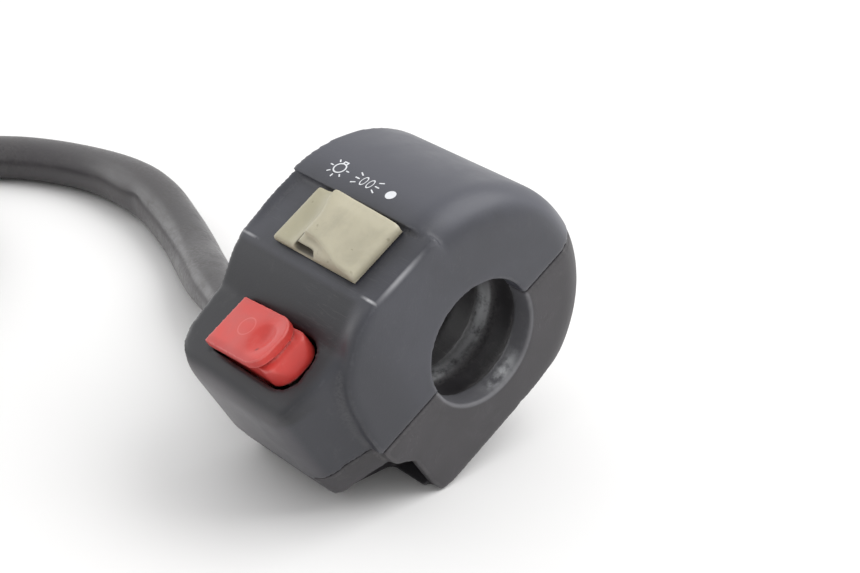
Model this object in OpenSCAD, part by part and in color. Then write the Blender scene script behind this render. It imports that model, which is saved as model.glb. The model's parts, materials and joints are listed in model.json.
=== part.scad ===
// Right-hand handlebar switch cluster: a two-part housing clamped on a bar, with a three-position
// light slide, an engine-stop rocker, and a sleeved harness that ends in a connector.
// Housing frame: x along the bar (outboard is +x), v across the housing in the split plane,
// n square to the split plane. The whole housing lies rolled over on a flat of its clamp half.

/* [Housing] */
// Length of the housing along the bar
body_length = 34.6; // [34:0.2:44]
// Bore that grips the handlebar
bore_d = 22.3; // [21.8:0.1:22.8]
// Wall of the sleeve round the bore
sleeve_wall = 2.2; // [1.8:0.1:2.3]
// Radius of the round back of the housing
barrel_r = 26.4; // [26:0.2:28]
// Rounding of the round back at its outboard end
end_round = 6; // [3:0.5:7]
// Wall thickness of the two shells
wall = 2; // [1.6:0.1:2.2]
// Gap between the two shells at the split
split_gap = 0.3; // [0.2:0.05:0.5]
// How far the nose reaches from the bar's axis
nose_reach = 35; // [35:0.5:40]
// Thickness of the outboard end plate
flange_t = 2.6; // [2.2:0.1:3]
// Depth of the clamp half below the bar's axis
clamp_depth = 18.5; // [18.5:0.25:20]
// Width of one groove inside the bore
groove_w = 6.3; // [4:0.1:7]
// Depth of the grooves inside the bore
groove_depth = 1.1; // [0.6:0.1:1.3]

/* [Light slide] */
// Height of the slide's recess above the bar's axis
recess_n = 25; // [25:0.1:25.6]
// Width of the recess, from its crease to the hood
recess_w = 13.5; // [13:0.1:14]
// Thickness of the recess floor
floor_t = 2.2; // [1.8:0.1:2.4]
// Travel of the slide each way from its middle place
slide_travel = 5.2; // [4:0.1:5.4]
// Length of the knob
knob_l = 21.5; // [19:0.25:22]
// Width of the knob
knob_w = 11.8; // [10.5:0.1:12.2]
// Height of the knob's ridge above the recess
ridge_h = 4.4; // [3.5:0.1:6]
// Height of the knob's low pad above the recess
pad_h = 1.5; // [1.2:0.1:2]
// Height of the knob's outboard end above the recess
tail_h = 2.6; // [2:0.1:3.2]
// Length of the carriage under the recess
carriage_l = 9; // [8:0.1:9.4]
// Width of the carriage
carriage_w = 8; // [7:0.1:8.4]
// Radius of the detent ball
ball_r = 1.2; // [1:0.05:1.3]

/* [Engine stop] */
// Length of the rocker's cap
cap_l = 15.5; // [14:0.25:16]
// Width of the rocker's cap
cap_w = 9.3; // [8.5:0.1:9.6]
// Height of the cap's top above its pivot
cap_top = 8; // [7.5:0.1:9]
// Tilt of the rocker each way from its middle
rock = 9; // [6:0.5:10]
// Tilt of the contact plate each way from its middle
plate_rock = 8; // [5:0.5:8]
// Radius of the pivot pins
pin_r = 1; // [0.8:0.05:1.1]

/* [Fasteners] */
// Radius of the clamp screws' thread
screw_r = 2; // [1.5:0.1:2.2]
// Radius of the clamp screws' heads
head_r = 3.5; // [3:0.1:3.8]
// Outer radius of the threaded inserts
insert_r = 2.9; // [2.7:0.05:3.1]
// Length of the threaded inserts
insert_l = 9; // [6:0.5:10]

/* [Harness] */
// Diameter of the harness sleeve
sleeve_d = 9.5; // [8:0.1:9.8]
// Radius of the first turn of the put-away coil
coil_r = 53; // [51:0.5:56]
// Turns in the put-away coil
coil_turns = 1.2; // [1.15:0.05:1.3]
// Space between neighbouring turns
turn_gap = 1.2; // [1:0.1:2]
// Thickness of the tie's band
tie_t = 0.5; // [0.3:0.05:0.6]
// Length of the connector's block
plug_l = 24; // [20:0.5:26]
// Width of the connector's block
plug_w = 15; // [15:0.25:17]
// Height of the connector's block
plug_h = 10; // [10:0.25:12]

/* [Clearances] */
// Gap between pieces that slide or tilt past each other
run_gap = 0.3; // [0.25:0.05:0.4]
// Radial gap of a pin in its bearing
pin_gap = 0.06; // [0.03:0.01:0.09]
// Gap round a piece that is pushed into a seat
seat_gap = 0.05; // [0.02:0.01:0.1]

/* [Hidden] */
$fn = 64;

// The flat that the housing lies on is turned this far from the split plane
roll = 30;
// Height of the surface under the bar's axis
table_z = -25.6;

half = body_length / 2;
bore_r = bore_d / 2;
sleeve_r = bore_r + sleeve_wall;
g = split_gap / 2;
cut = 1;
far = 60;

// Recess and its crease
hood_v = 1.5;
crease_v = hood_v - recess_w;
recess_mid = (hood_v + crease_v) / 2;
floor_in = recess_n - floor_t;
light_wall_v = hood_v - 0.5;

// Nose: the step down from the crease, the platform of the rocker and the front wall
nose_x = half - flange_t;
nose_round = 4;
inner_corner = 7;
outer_corner = 4.6;
corner_slant = 1.9;
platform_n = 20;
platform_drop = 1.6;
front_n = platform_n - platform_drop;

// Rocker
kill_x = -0.2;
kill_n = platform_n - 5.2;
plate_w = 5;
boss_front = sleeve_r + 2 * insert_r + 2.25;
kill_v = -max(nose_reach - 9.85, boss_front + plate_w / 2 + run_gap);
cap_back = -8;
cap_front = cap_back + cap_l;
skirt_step = 1.9;
skirt_inset = 0.3;
skirt_low = 1.5;
cap_rim = 1.7;
cap_groove = 0.4;
cap_corner = 3.6;
dish_r = 5.8;
dish_deep = 0.6;
dish_from_front = 4.2;
skirt_front = cap_front + skirt_step;
skirt_sweep = norm([skirt_front - 0.4, 4]);
rock_slot_v = cap_w / 2 + run_gap;
hub_r = pin_r + 1.2;
tail_r = 2.3;
tail_low = -3.4;
plunger_r = 1.24;
plunger_top = -0.4;
spring_top = 4.5;
cheek_t = 1.8;
cheek_half = 4;
cheek_in = rock_slot_v + 0.35;
leg_x = 7.8;
leg_w = 2.4;

// Kill switch contacts
plate_t = 0.8;
plate_l = 11;
plate_pivot_r = 0.55;
kill_plate_n = 8;
kill_base_t = 2;
kill_tail_l = 1.2;
kill_rivet_r = 0.8;
kill_rivet_head = 1.5;
kill_screw_grip = 4.5;
thin_screw_r = 0.75;
thin_screw_head = 1.6;
thin_head_h = 1;
screw_play = 0.1;
plate_drop = plate_t / 2 + plate_l / 2 * sin(plate_rock);
rivet_top = kill_plate_n - plate_drop - run_gap;
kill_base_n = rivet_top - 0.8;
rivet_x = plate_l / 2 - 0.9;
saddle_half = 2.2;
saddle_n = kill_plate_n - plate_pivot_r - run_gap;
plunger_tip = kill_plate_n + plate_pivot_r + run_gap - kill_n;
kill_post_v = -(nose_reach - wall - 1.6);
kill_post_r = 1.9;
kill_post_x = 7.8;
kill_base_front = -(nose_reach - wall) + run_gap;
kill_base_back = kill_v + 3.25;

// Light switch stack, from the recess floor downwards
carriage_top = floor_in - run_gap;
carriage_h = 3.8;
carriage_low = carriage_top - carriage_h;
stem_l = 6;
stem_w = 4;
stem_deep = 1.2;
light_contact_t = 0.6;
light_base_n = carriage_low - light_contact_t - 0.55;
light_base_t = 2.2;
light_rivet_h = 0.25;
light_post_r = 2.1;
light_post_x = carriage_l / 2 + slide_travel + 0.8 + light_post_r;
light_base_half = light_post_x + 2;
light_base_w = 11.2;
light_tail = 1;
light_rivet_r = 0.7;
light_rivet_head = 1.3;
light_screw_r = 0.85;
light_screw_head = 1.8;
light_screw_grip = 3.6;
light_row = 2.6;
ball_v = recess_mid + carriage_w / 2 - ball_r / 3;
ball_n = carriage_low + 1.55;
detent_spring_r = 0.75;
detent_spring_l = 3;
detent_v = ball_v + ball_r + run_gap;

// Knob profile
knob_x = -9.4;
knob_end = knob_x + knob_l;
knob_low = recess_n + run_gap;
knob_v = hood_v - 0.6 - knob_w / 2;
pad_end = knob_x + 3.6;
ridge_x = knob_x + 7.6;

// Clamp screws, their seats and inserts
screw_v = sleeve_r + insert_r + 0.95;
screw_x = [0, 3];
boss_r = insert_r + 1.3;
seat_n = -6;
head_h = 2.6;
insert_n = g + 0.5;
insert_end = insert_n + insert_l;
washer_boss_r = head_r + 1.7;
screw_hole_r = screw_r + 0.2;

// Outboard end plate
plate_round_v = -9.5;
plate_round_n = 9.5;
plate_round_r = recess_n - plate_round_n;
plate_edge = plate_round_v - plate_round_r - 0.4;

// Clamp half: centre of its round back, its flat and its tip
clamp_v = 2.5;
clamp_n = 0.7;
clamp_r = barrel_r - clamp_v - 0.1;
tip_v = -20.4;
flat_v = -31.9;
pocket_x = nose_x - 8.5;

// Harness exit in the inboard end wall
exit_v = -18.5;
exit_n = -7;
tube_r = sleeve_d / 2;
sleeve_play = 0.12;
grommet_bore = tube_r + sleeve_play;
grommet_neck = tube_r + 0.85;
grommet_lip = grommet_neck + 0.7;
grommet_tail = 7;
sleeve_in = -half + wall + 6.4;
clip_x = -half + wall + 2.4;
clip_w = 3;
clip_t = 0.8;
clip_screw_grip = 3;
clip_screw_v = exit_v - tube_r - 3.6;
clip_tab_n = exit_n - 0.5;
lead_r = 0.65;
lead_gap = 0.12;

// Route of the free sleeve on the surface, in millimetres of the lying frame
lay_z = table_z + tie_t + tube_r + 0.1;
exit_y = exit_v * cos(roll) - exit_n * sin(roll);
exit_z = exit_v * sin(roll) + exit_n * cos(roll);
route = [[sleeve_in, exit_y, exit_z], [-half - 5, exit_y, exit_z], [-33, -11.2, -15.4],
    [-43, -8.6, -16.1], [-54, -4.2, -17.6], [-64, 0.6, -19.3], [-75, 5.3, lay_z], [-87, 9.4, lay_z],
    [-97, 12.1, lay_z], [-107.5, 13.1, lay_z], [-118, 11.9, lay_z], [-128, 8.5, lay_z], [-137, 3.2, lay_z],
    [-146, -4.4, lay_z], [-154.5, -11.7, lay_z], [-163, -18.9, lay_z]];
route_end = route[len(route) - 1];
route_heading = unit(route_end - route[len(route) - 2]);

// Put-away coil: straight for end_run, then it turns left and winds inwards
end_run = sleeve_d;
turn_pitch = sleeve_d + turn_gap;
coil_left = [-route_heading[1], route_heading[0], 0];
coil_centre = route_end + end_run * route_heading + coil_r * coil_left;
coil_start = atan2(-coil_left[1], -coil_left[0]);
coil_rings = 24;
coil_sides = 6;
coil_end = coil_start + 360 * coil_turns;
end_drift = 5;
drift_turn = 0.16;
function coil_point(a) = let (into = max(0, (a - coil_end) / 360 / drift_turn + 1),
        r = coil_r - turn_pitch * (a - coil_start) / 360 - end_drift * into * into)
    coil_centre + [r * cos(a), r * sin(a), 0];
end_heading = unit(coil_point(coil_end) - coil_point(coil_end - 1));
end_inward = [-end_heading[1], end_heading[0], 0];
coil_stop = coil_point(coil_end) + end_run * end_heading;

// Connector, inside the coil
wire_r = 0.7;
wire_count = 5;
plug_turn = 40;
plug_back = coil_stop + 15 * end_heading + 7 * end_inward;
plug_angle = atan2(end_heading[1], end_heading[0]) + plug_turn;
plug_dir = [cos(plug_angle), sin(plug_angle), 0];
plug_side = [-sin(plug_angle), cos(plug_angle), 0];
plug_wire_z = table_z + plug_h / 2;
cavity_w = 3.4;
cavity_h = 3;
cavity_deep = 12;
cavity_pitch_w = 4.5;
cavity_pitch_h = 4.2;

// Small tools
function unit(a) = a / norm(a);
function arc(c, r, a0, a1, steps) =
    [for (i = [0:steps]) c + r * [cos(a0 + (a1 - a0) * i / steps), sin(a0 + (a1 - a0) * i / steps)]];
function between(a, b, c, d, t) = 0.5 * ((2 * b) + (c - a) * t + (2 * a - 5 * b + 4 * c - d) * t * t
    + (3 * b - a - 3 * c + d) * t * t * t);
function smooth(p, k) = let (last = len(p) - 1)
    [for (i = [0:last - 1]) for (j = [0:k - 1])
        between(i == 0 ? 2 * p[0] - p[1] : p[i - 1], p[i], p[i + 1],
            i == last - 1 ? 2 * p[last] - p[last - 1] : p[i + 2], j / k), p[last]];
function heading(p, i) = unit(p[min(i + 1, len(p) - 1)] - p[max(i - 1, 0)]);
function ring(c, t, r, sides, up) = let (s = unit(cross(t, up)), w = cross(s, t))
    [for (k = [0:sides - 1]) c + r * (sin(360 * k / sides) * s - cos(360 * k / sides) * w)];

// A closed round tube along points
module tube(p, r, sides, up) {
    last = len(p) - 1;
    points = [for (i = [0:last]) each ring(p[i], heading(p, i), r, sides, up)];
    skin = [for (i = [0:last - 1]) for (k = [0:sides - 1]) let (a = i * sides, m = (k + 1) % sides)
        each [[a + k, a + m, a + sides + k], [a + m, a + sides + m, a + sides + k]]];
    back = [for (k = [1:sides - 2]) [0, k + 1, k]];
    front = [for (k = [1:sides - 2]) [last * sides, last * sides + k, last * sides + k + 1]];
    polyhedron(points, concat(skin, back, front), convexity = 10);
}

// Places the housing as it lies
module lying() { rotate([roll, 0, 0]) children(); }
// Extrudes an outline in v and n along x
module along_x(x0, x1) { translate([x0, 0, 0]) rotate([90, 0, 90]) linear_extrude(x1 - x0) children(); }
// Extrudes an outline in x and n along v
module along_v(v0, v1) { translate([0, v1, 0]) rotate([90, 0, 0]) linear_extrude(v1 - v0) children(); }
// Extrudes an outline in x and v along n
module along_n(n0, n1) { translate([0, 0, n0]) linear_extrude(n1 - n0) children(); }
module rod_x(r, x0, x1, v = 0, n = 0) {
    translate([x0, v, n]) rotate([0, 90, 0]) cylinder(r = r, h = x1 - x0);
}
module rod_v(r, v0, v1, x, n) { translate([x, v1, n]) rotate([90, 0, 0]) cylinder(r = r, h = v1 - v0); }
module rod_n(r, n0, n1, x, v) { translate([x, v, n0]) cylinder(r = r, h = n1 - n0); }
module block(x0, x1, v0, v1, n0, n1) { translate([x0, v0, n0]) cube([x1 - x0, v1 - v0, n1 - n0]); }

// A compression spring along n, its wire one unbroken tube
module spring(mean_r, wire, n0, n1, coils) {
    steps = 8 * coils;
    rise = n1 - n0 - 2 * wire;
    tube([for (i = [0:steps]) [mean_r * cos(45 * i), mean_r * sin(45 * i), n0 + wire + rise * i / steps]],
        wire, 6, [0, 0, 1]);
}

// Round back with its rounded outboard end, about its own axis
module barrel(r, round_r) {
    rotate([0, 90, 0]) rotate_extrude()
        polygon(concat([[0, -half], [r, -half]], arc([r - round_r, half - round_r], round_r, 0, 90, 10),
            [[0, half]]));
}

module bore_cut() {
    rod_x(bore_r, -half - cut, half + cut);
    for (i = [-1:1]) let (x = i * (groove_w + 3.4))
        rod_x(bore_r + groove_depth, x - groove_w / 2, x + groove_w / 2);
}

// Plan of the nose with its rounded corners, drawn in from its walls by an inset
module nose_plan(inset) {
    front = -nose_reach + inset;
    right = nose_x - inset;
    inner = [-half + inner_corner, -nose_reach + inner_corner];
    outer = [nose_x - corner_slant - outer_corner, -nose_reach + outer_corner];
    polygon(concat([[-half + inset, far], [-half + inset, inner[1]]],
        arc(inner, inner_corner - inset, 180, 270, 6), arc(outer, outer_corner - inset, 270, 360, 6),
        [[right, front + 9.5], [right, far]]));
}

// Outline of the switch half inboard of the end plate
module upper_outline() {
    polygon(concat([[hood_v + cut, g], [hood_v + cut, recess_n], [crease_v, recess_n],
        [crease_v - 3.2, recess_n - 1.4], [crease_v - 5.9, recess_n - 3.1]],
        arc([crease_v - 9.2, platform_n + 1.6], 1.7, 315, 268, 4),
        [[-nose_reach + nose_round, front_n]],
        arc([-nose_reach + nose_round, front_n - nose_round], nose_round, 90, 180, 6), [[-nose_reach, g]]));
}

// Outline of the switch half at the end plate
module plate_outline() {
    polygon(concat([[hood_v + cut, g], [hood_v + cut, recess_n], [crease_v, recess_n]],
        arc([plate_round_v, plate_round_n], plate_round_r, 100, 180, 10), [[plate_edge, plate_round_n - 4],
        [plate_edge, g]]));
}

// Inside of the nose and of the space under the recess
module upper_cavity() {
    difference() {
        union() {
            intersection() {
                along_x(-half + wall, nose_x - wall)
                    polygon([[-nose_reach + wall, -cut], [-nose_reach + wall, front_n - nose_round],
                        [-nose_reach + nose_round, front_n - wall], [crease_v - 9, platform_n - wall - 0.1],
                        [crease_v - 6.6, floor_in - 3], [crease_v - 1.6, floor_in], [light_wall_v, floor_in],
                        [light_wall_v, 0], [0, -cut]]);
                along_n(-far, far) nose_plan(wall);
            }
            block(-half + wall, half - wall, crease_v - 1.6, light_wall_v, 0, floor_in);
        }
        rod_x(sleeve_r, -half, half);
    }
}

// Hollow of the round back
module hood_cavity() {
    difference() {
        rod_x(barrel_r - wall - 0.4, -half + wall, half - end_round);
        rod_x(sleeve_r, -half, half);
        block(-half, half, -far, hood_v + wall, -far, far);
        block(-half, half, -far, far, -far, g - cut);
    }
}

module boss_pair(r, n0, n1) {
    rod_n(r, n0, n1, screw_x[0], -screw_v);
    rod_n(r, n0, n1, screw_x[1], screw_v);
}

module switch_housing() {
    color([0.16, 0.17, 0.19]) lying() difference() {
        union() {
            difference() {
                union() {
                    intersection() {
                        barrel(barrel_r, end_round);
                        block(-half, half, hood_v, far, g, far);
                    }
                    intersection() {
                        along_x(-half, nose_x) upper_outline();
                        along_n(0, far) nose_plan(0);
                    }
                    along_x(nose_x, half) plate_outline();
                }
                upper_cavity();
                hood_cavity();
            }
            intersection() {
                boss_pair(boss_r, g, insert_end + 1.5);
                barrel(barrel_r, end_round);
            }
            light_posts();
            kill_posts();
        }
        bore_cut();
        boss_pair(insert_r + seat_gap, g - cut, insert_end + seat_gap);
        light_cuts();
        kill_cuts();
    }
}

// Posts and detent rib under the recess floor
module light_posts() {
    for (x = [-light_post_x, light_post_x])
        rod_n(light_post_r, light_base_n, floor_in + cut, x, recess_mid);
    difference() {
        block(-slide_travel - 3, slide_travel + 3, detent_v, light_wall_v + cut, carriage_low,
            floor_in + cut);
        for (i = [-1:1])
            rod_n(ball_r + 0.2, carriage_low - cut, carriage_top, i * slide_travel, detent_v - ball_r + 0.4);
    }
}

// Slot for the knob's stem and the holes of the base screws
module light_cuts() {
    reach = stem_l / 2 + slide_travel + run_gap;
    block(-reach, reach, recess_mid - stem_w / 2 - run_gap, recess_mid + stem_w / 2 + run_gap,
        floor_in - cut, recess_n + cut);
    for (x = [-light_post_x, light_post_x])
        rod_n(light_screw_r + seat_gap, light_base_n - cut, floor_in - 0.6, x, recess_mid);
}

// Cheeks that hold the pivot pins, and posts for the contact base
module kill_posts() {
    cheek_low = kill_n - hub_r - 1;
    intersection() {
        union() {
            block(kill_x - cheek_half, kill_x + leg_x, kill_v + cheek_in, kill_v + cheek_in + cheek_t,
                cheek_low, recess_n);
            block(kill_x + leg_x - leg_w, kill_x + leg_x, kill_v + cheek_in, kill_v + cheek_in + cheek_t,
                kill_base_n, recess_n);
        }
        translate([0, 0, -wall / 2]) along_x(-half, nose_x) upper_outline();
    }
    block(kill_x - cheek_half, kill_x + cheek_half, -nose_reach + wall - cut / 2, kill_v - cheek_in,
        cheek_low, kill_n + hub_r);
    for (x = [-1, 1])
        rod_n(kill_post_r, kill_base_n, kill_n - 2, kill_x + x * kill_post_x, kill_post_v);
}

// Opening of the rocker, bearings of its pins and holes of the base screws
module kill_cuts() {
    slot_back = cap_back * cos(rock) - cap_top * sin(rock) - 2 * run_gap;
    translate([kill_x, kill_v, 0]) along_n(kill_n, platform_n + 4)
        d_outline(slot_back, skirt_sweep + 2 * run_gap, 2 * rock_slot_v, cap_corner + run_gap);
    rod_v(pin_r + 0.01, -nose_reach + wall - 0.2, kill_v - cheek_in + cut, kill_x, kill_n);
    rod_v(pin_r + 0.01, kill_v + cheek_in - cut, kill_v + cheek_in + cheek_t + cut, kill_x, kill_n);
    for (x = [-1, 1])
        rod_n(thin_screw_r + seat_gap, kill_base_n - cut, kill_n - 3.5, kill_x + x * kill_post_x,
            kill_post_v);
}

// Outline of the clamp half below the nose, down to the flat that it lies on
module lower_outline() {
    polygon([[-nose_reach + 0.4, -g], [-nose_reach + 1, -5], [flat_v, flat_n(flat_v)],
        [tip_v, flat_n(tip_v)], [tip_v + 3, -clamp_depth], [0, -clamp_depth], [0, -g]]);
}
function flat_n(v) = (table_z - v * sin(roll)) / cos(roll);

// Part of the clamp half under the nose
module nose_cover() {
    intersection() {
        along_x(-half, nose_x) lower_outline();
        along_n(-far, 0) nose_plan(0.2);
    }
}

module lower_cavity() {
    difference() {
        along_x(-half + wall, pocket_x - wall)
            polygon([[-nose_reach + wall + 0.6, cut], [-nose_reach + wall + 0.9, -5],
                [flat_v + wall, flat_n(flat_v) + 1.1 * wall], [tip_v + 0.8, flat_n(tip_v) + 1.2 * wall],
                [tip_v + 4, -clamp_depth + wall], [-sleeve_r, -clamp_depth + wall], [-3, -6], [-3, cut]]);
        rod_x(sleeve_r, -half, half);
        rod_n(washer_boss_r, -far, far, screw_x[0], -screw_v);
        clip_boss();
    }
    difference() {
        rod_x(clamp_r - wall - 0.4, -half + wall, half - end_round, clamp_v, clamp_n);
        rod_x(sleeve_r, -half, half);
        rod_n(washer_boss_r, -far, far, screw_x[1], screw_v);
        block(-half, half, -far, clamp_v + 3, -far, far);
        block(-half, half, -far, far, -far, -clamp_depth + wall);
        block(-half, half, -far, far, cut, far);
    }
}

// Boss of the cable clip's screw on the floor of the clamp half
module clip_boss() { rod_n(2.3, -far, clip_tab_n, clip_x + clip_w / 2, clip_screw_v); }

module clamp_housing() {
    color([0.19, 0.185, 0.185]) lying() difference() {
        union() {
            intersection() {
                translate([0, clamp_v, clamp_n]) barrel(clamp_r, end_round);
                block(-half, half, tip_v + 0.4, far, -clamp_depth, -g);
            }
            nose_cover();
            along_x(nose_x, half) polygon([[0, -g], [plate_edge + 0.4, -g], [plate_edge + 1.15, -5],
                [tip_v - 0.85, -7.1], [tip_v - 0.5, -15], [tip_v, flat_n(tip_v)], [tip_v + 3, -clamp_depth],
                [0, -clamp_depth]]);
        }
        lower_cavity();
        bore_cut();
        block(pocket_x, nose_x, -far, tip_v + 3, -clamp_depth + wall - 0.1, -5.6);
        boss_pair(screw_hole_r, -far, far);
        boss_pair(head_r + 0.4, -far, seat_n);
        rod_x(grommet_neck + seat_gap, -half - cut, -half + wall + cut, exit_v, exit_n);
        rod_n(thin_screw_r + seat_gap, clip_tab_n - clip_screw_grip - 0.4, clip_tab_n + cut,
            clip_x + clip_w / 2, clip_screw_v);
    }
}

// Side view of the knob: low pad, hollow ramp, ridge and long slope
module knob_outline() {
    rise = ridge_h - pad_h;
    ramp = ridge_x - pad_end;
    polygon(concat([[knob_x, knob_low], [knob_x, recess_n + pad_h - 0.3], [knob_x + 0.3, recess_n + pad_h]],
        [for (i = [0:8]) let (t = i / 8, up = 1 - sqrt(1 - t * t * 0.98))
            [pad_end + ramp * t, recess_n + pad_h + rise * up]],
        [[ridge_x + 0.7, recess_n + ridge_h], [knob_end - 0.8, recess_n + tail_h],
        [knob_end, recess_n + tail_h - 0.7], [knob_end, knob_low]]));
}

module light_slide_knob() {
    color([0.63, 0.6, 0.48]) lying() {
        difference() {
            along_v(knob_v - knob_w / 2, knob_v + knob_w / 2) knob_outline();
            block(pad_end + 2.2, ridge_x + 3, knob_v - knob_w / 2 - cut, knob_v - knob_w / 2 + 2.6,
                knob_low + 0.5, knob_low + 1.7);
        }
        block(-stem_l / 2, stem_l / 2, recess_mid - stem_w / 2, recess_mid + stem_w / 2,
            carriage_top - stem_deep, knob_low + 0.2);
    }
}

module light_carriage() {
    color([0.85, 0.84, 0.8]) lying() difference() {
        block(-carriage_l / 2, carriage_l / 2, recess_mid - carriage_w / 2, recess_mid + carriage_w / 2,
            carriage_low, carriage_top);
        block(-stem_l / 2 - seat_gap, stem_l / 2 + seat_gap, recess_mid - stem_w / 2 - seat_gap,
            recess_mid + stem_w / 2 + seat_gap, carriage_top - stem_deep - seat_gap, carriage_top + cut);
        rod_v(ball_r + seat_gap, ball_v - ball_r - seat_gap, far, 0, ball_n);
        rod_v(detent_spring_r + 0.2, ball_v - ball_r - detent_spring_l, ball_v, 0, ball_n);
    }
}

module light_moving_contact() {
    color([0.78, 0.62, 0.3]) lying() difference() {
        block(-carriage_l / 2 + 1, carriage_l / 2 - 1, recess_mid - carriage_w / 2 + 1,
            recess_mid + carriage_w / 2 - 1, carriage_low - light_contact_t, carriage_low);
        rod_n(0.8, carriage_low - far, carriage_low + far, 0, recess_mid);
    }
}

module light_detent_ball() {
    color([0.75, 0.75, 0.77]) lying() translate([0, ball_v, ball_n]) sphere(r = ball_r);
}

module light_detent_spring() {
    color([0.6, 0.6, 0.62]) lying() translate([0, ball_v - ball_r - seat_gap, ball_n]) rotate([90, 0, 0])
        spring(detent_spring_r - 0.14, 0.14, 0, detent_spring_l - 2 * seat_gap, 4);
}

module light_base() {
    color([0.45, 0.28, 0.16]) lying() difference() {
        block(-light_base_half, light_base_half, recess_mid - light_base_w / 2, recess_mid + light_base_w / 2,
            light_base_n - light_base_t, light_base_n);
        for (x = [-light_post_x, light_post_x])
            rod_n(light_screw_r + screw_play + seat_gap, 0, far, x, recess_mid);
        for (i = [-1:1]) for (row = [-light_row, light_row])
            rod_n(light_rivet_r + seat_gap, 0, far, i * slide_travel, recess_mid + row);
    }
}

// Rivets of the light switch: a head on the base and a solder tail under it
module light_contacts() {
    color([0.8, 0.64, 0.32]) lying() for (i = [-1:1]) for (row = [-light_row, light_row]) {
        rod_n(light_rivet_r, light_base_n - light_base_t - light_tail, light_base_n + 0.05, i * slide_travel,
            recess_mid + row);
        rod_n(light_rivet_head, light_base_n, light_base_n + light_rivet_h, i * slide_travel,
            recess_mid + row);
    }
}

// A small pan-head screw that points up along n
module small_screw(r, r_head, h_head, n_seat, reach, x, v) {
    rod_n(r, n_seat - 0.1, n_seat + reach, x, v);
    difference() {
        rod_n(r_head, n_seat - h_head, n_seat, x, v);
        block(x - r_head, x + r_head, v - 0.25, v + 0.25, n_seat - h_head - cut, n_seat - h_head / 2);
    }
}

module light_base_screws() {
    color([0.7, 0.7, 0.72]) lying() for (x = [-light_post_x, light_post_x])
        small_screw(light_screw_r, light_screw_head, thin_head_h, light_base_n - light_base_t,
            light_base_t + light_screw_grip, x, recess_mid);
}

// D-shaped outline of the rocker: flat inboard end, outboard end with large round corners
module d_outline(back, front, w, corner = cap_corner) {
    edge = w / 2 - corner;
    polygon(concat([[back, w / 2], [back, -w / 2]], arc([front - corner, -edge], corner, 270, 360, 8),
        arc([front - corner, edge], corner, 0, 90, 8)));
}

// Turns a piece of the rocker from its middle place to the place that it rests in
module rocked(angle, n) { translate([kill_x, kill_v, n]) rotate([0, angle, 0]) children(); }

module kill_rocker() {
    skirt_w = cap_w - 2 * skirt_inset;
    color([0.78, 0.16, 0.15]) lying() rocked(-rock, kill_n) difference() {
        union() {
            along_n(cap_top - cap_rim, cap_top) d_outline(cap_back, cap_front, cap_w);
            along_n(skirt_low, cap_top - cap_rim + 0.1)
                d_outline(cap_back + skirt_inset, cap_front - cap_groove, skirt_w - cap_groove);
            intersection() {
                along_n(skirt_low, cap_top - cap_rim - cap_groove)
                    d_outline(cap_back + skirt_inset, skirt_front, skirt_w);
                rod_v(skirt_sweep, -far, far, 0, 0);
            }
            rod_v(hub_r, -skirt_w / 2, skirt_w / 2, 0, 0);
            rod_n(tail_r, tail_low, skirt_low + cut, 0, 0);
        }
        for (side = [-1, 1])
            rod_v(pin_r + pin_gap, side * cap_w / 2 - 2.3, side * cap_w / 2 + 2.3, 0, 0);
        rod_n(plunger_r + seat_gap, tail_low - cut, spring_top + seat_gap, 0, 0);
        translate([cap_front - dish_from_front, 0, cap_top - dish_deep + dish_r]) sphere(r = dish_r);
    }
}

module kill_pivot_pins() {
    color([0.72, 0.72, 0.74]) lying() {
        rod_v(pin_r, -nose_reach + wall - 0.1, kill_v - cap_w / 2 + 2.1, kill_x, kill_n);
        rod_v(pin_r, kill_v + cap_w / 2 - 2.1, kill_v + cheek_in + cheek_t, kill_x, kill_n);
    }
}

module kill_plunger() {
    color([0.9, 0.9, 0.86]) lying() rocked(-rock, kill_n) {
        rod_n(plunger_r, plunger_tip + plunger_r, plunger_top, 0, 0);
        translate([0, 0, plunger_tip + plunger_r]) sphere(r = plunger_r);
    }
}

module kill_plunger_spring() {
    color([0.6, 0.6, 0.62]) lying() rocked(-rock, kill_n)
        spring(0.9, 0.17, plunger_top + 0.05, spring_top, 5);
}

module kill_contact_plate() {
    color([0.8, 0.64, 0.32]) lying() rocked(plate_rock, kill_plate_n) difference() {
        union() {
            block(-plate_l / 2, plate_l / 2, -plate_w / 2, plate_w / 2, -plate_t / 2, plate_t / 2);
            rod_v(plate_pivot_r, -plate_w / 2 + cut, plate_w / 2 - cut, 0, 0);
        }
        for (side = [-1, 1])
            block(-1, 1, side * plate_w / 2 - 0.6, side * plate_w / 2 + 0.6, -plate_t, plate_t);
    }
}

module kill_base() {
    color([0.45, 0.28, 0.16]) lying() difference() {
        union() {
            block(kill_x - kill_post_x - 2, kill_x + kill_post_x + 2, kill_base_front, kill_base_back,
                kill_base_n - kill_base_t, kill_base_n);
            block(kill_x + leg_x - leg_w + 0.1, kill_x + leg_x - 0.1, kill_base_back - cut,
                kill_v + cheek_in + cheek_t, kill_base_n - kill_base_t, kill_base_n);
        }
        for (x = [-1, 1])
            rod_n(thin_screw_r + screw_play + seat_gap, 0, far, kill_x + x * kill_post_x, kill_post_v);
        for (x = [-1, 0, 1])
            rod_n(kill_rivet_r + seat_gap, 0, far, kill_x + x * rivet_x, kill_v);
        rod_n(boss_r + run_gap, 0, far, screw_x[0], -screw_v);
    }
}

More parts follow.
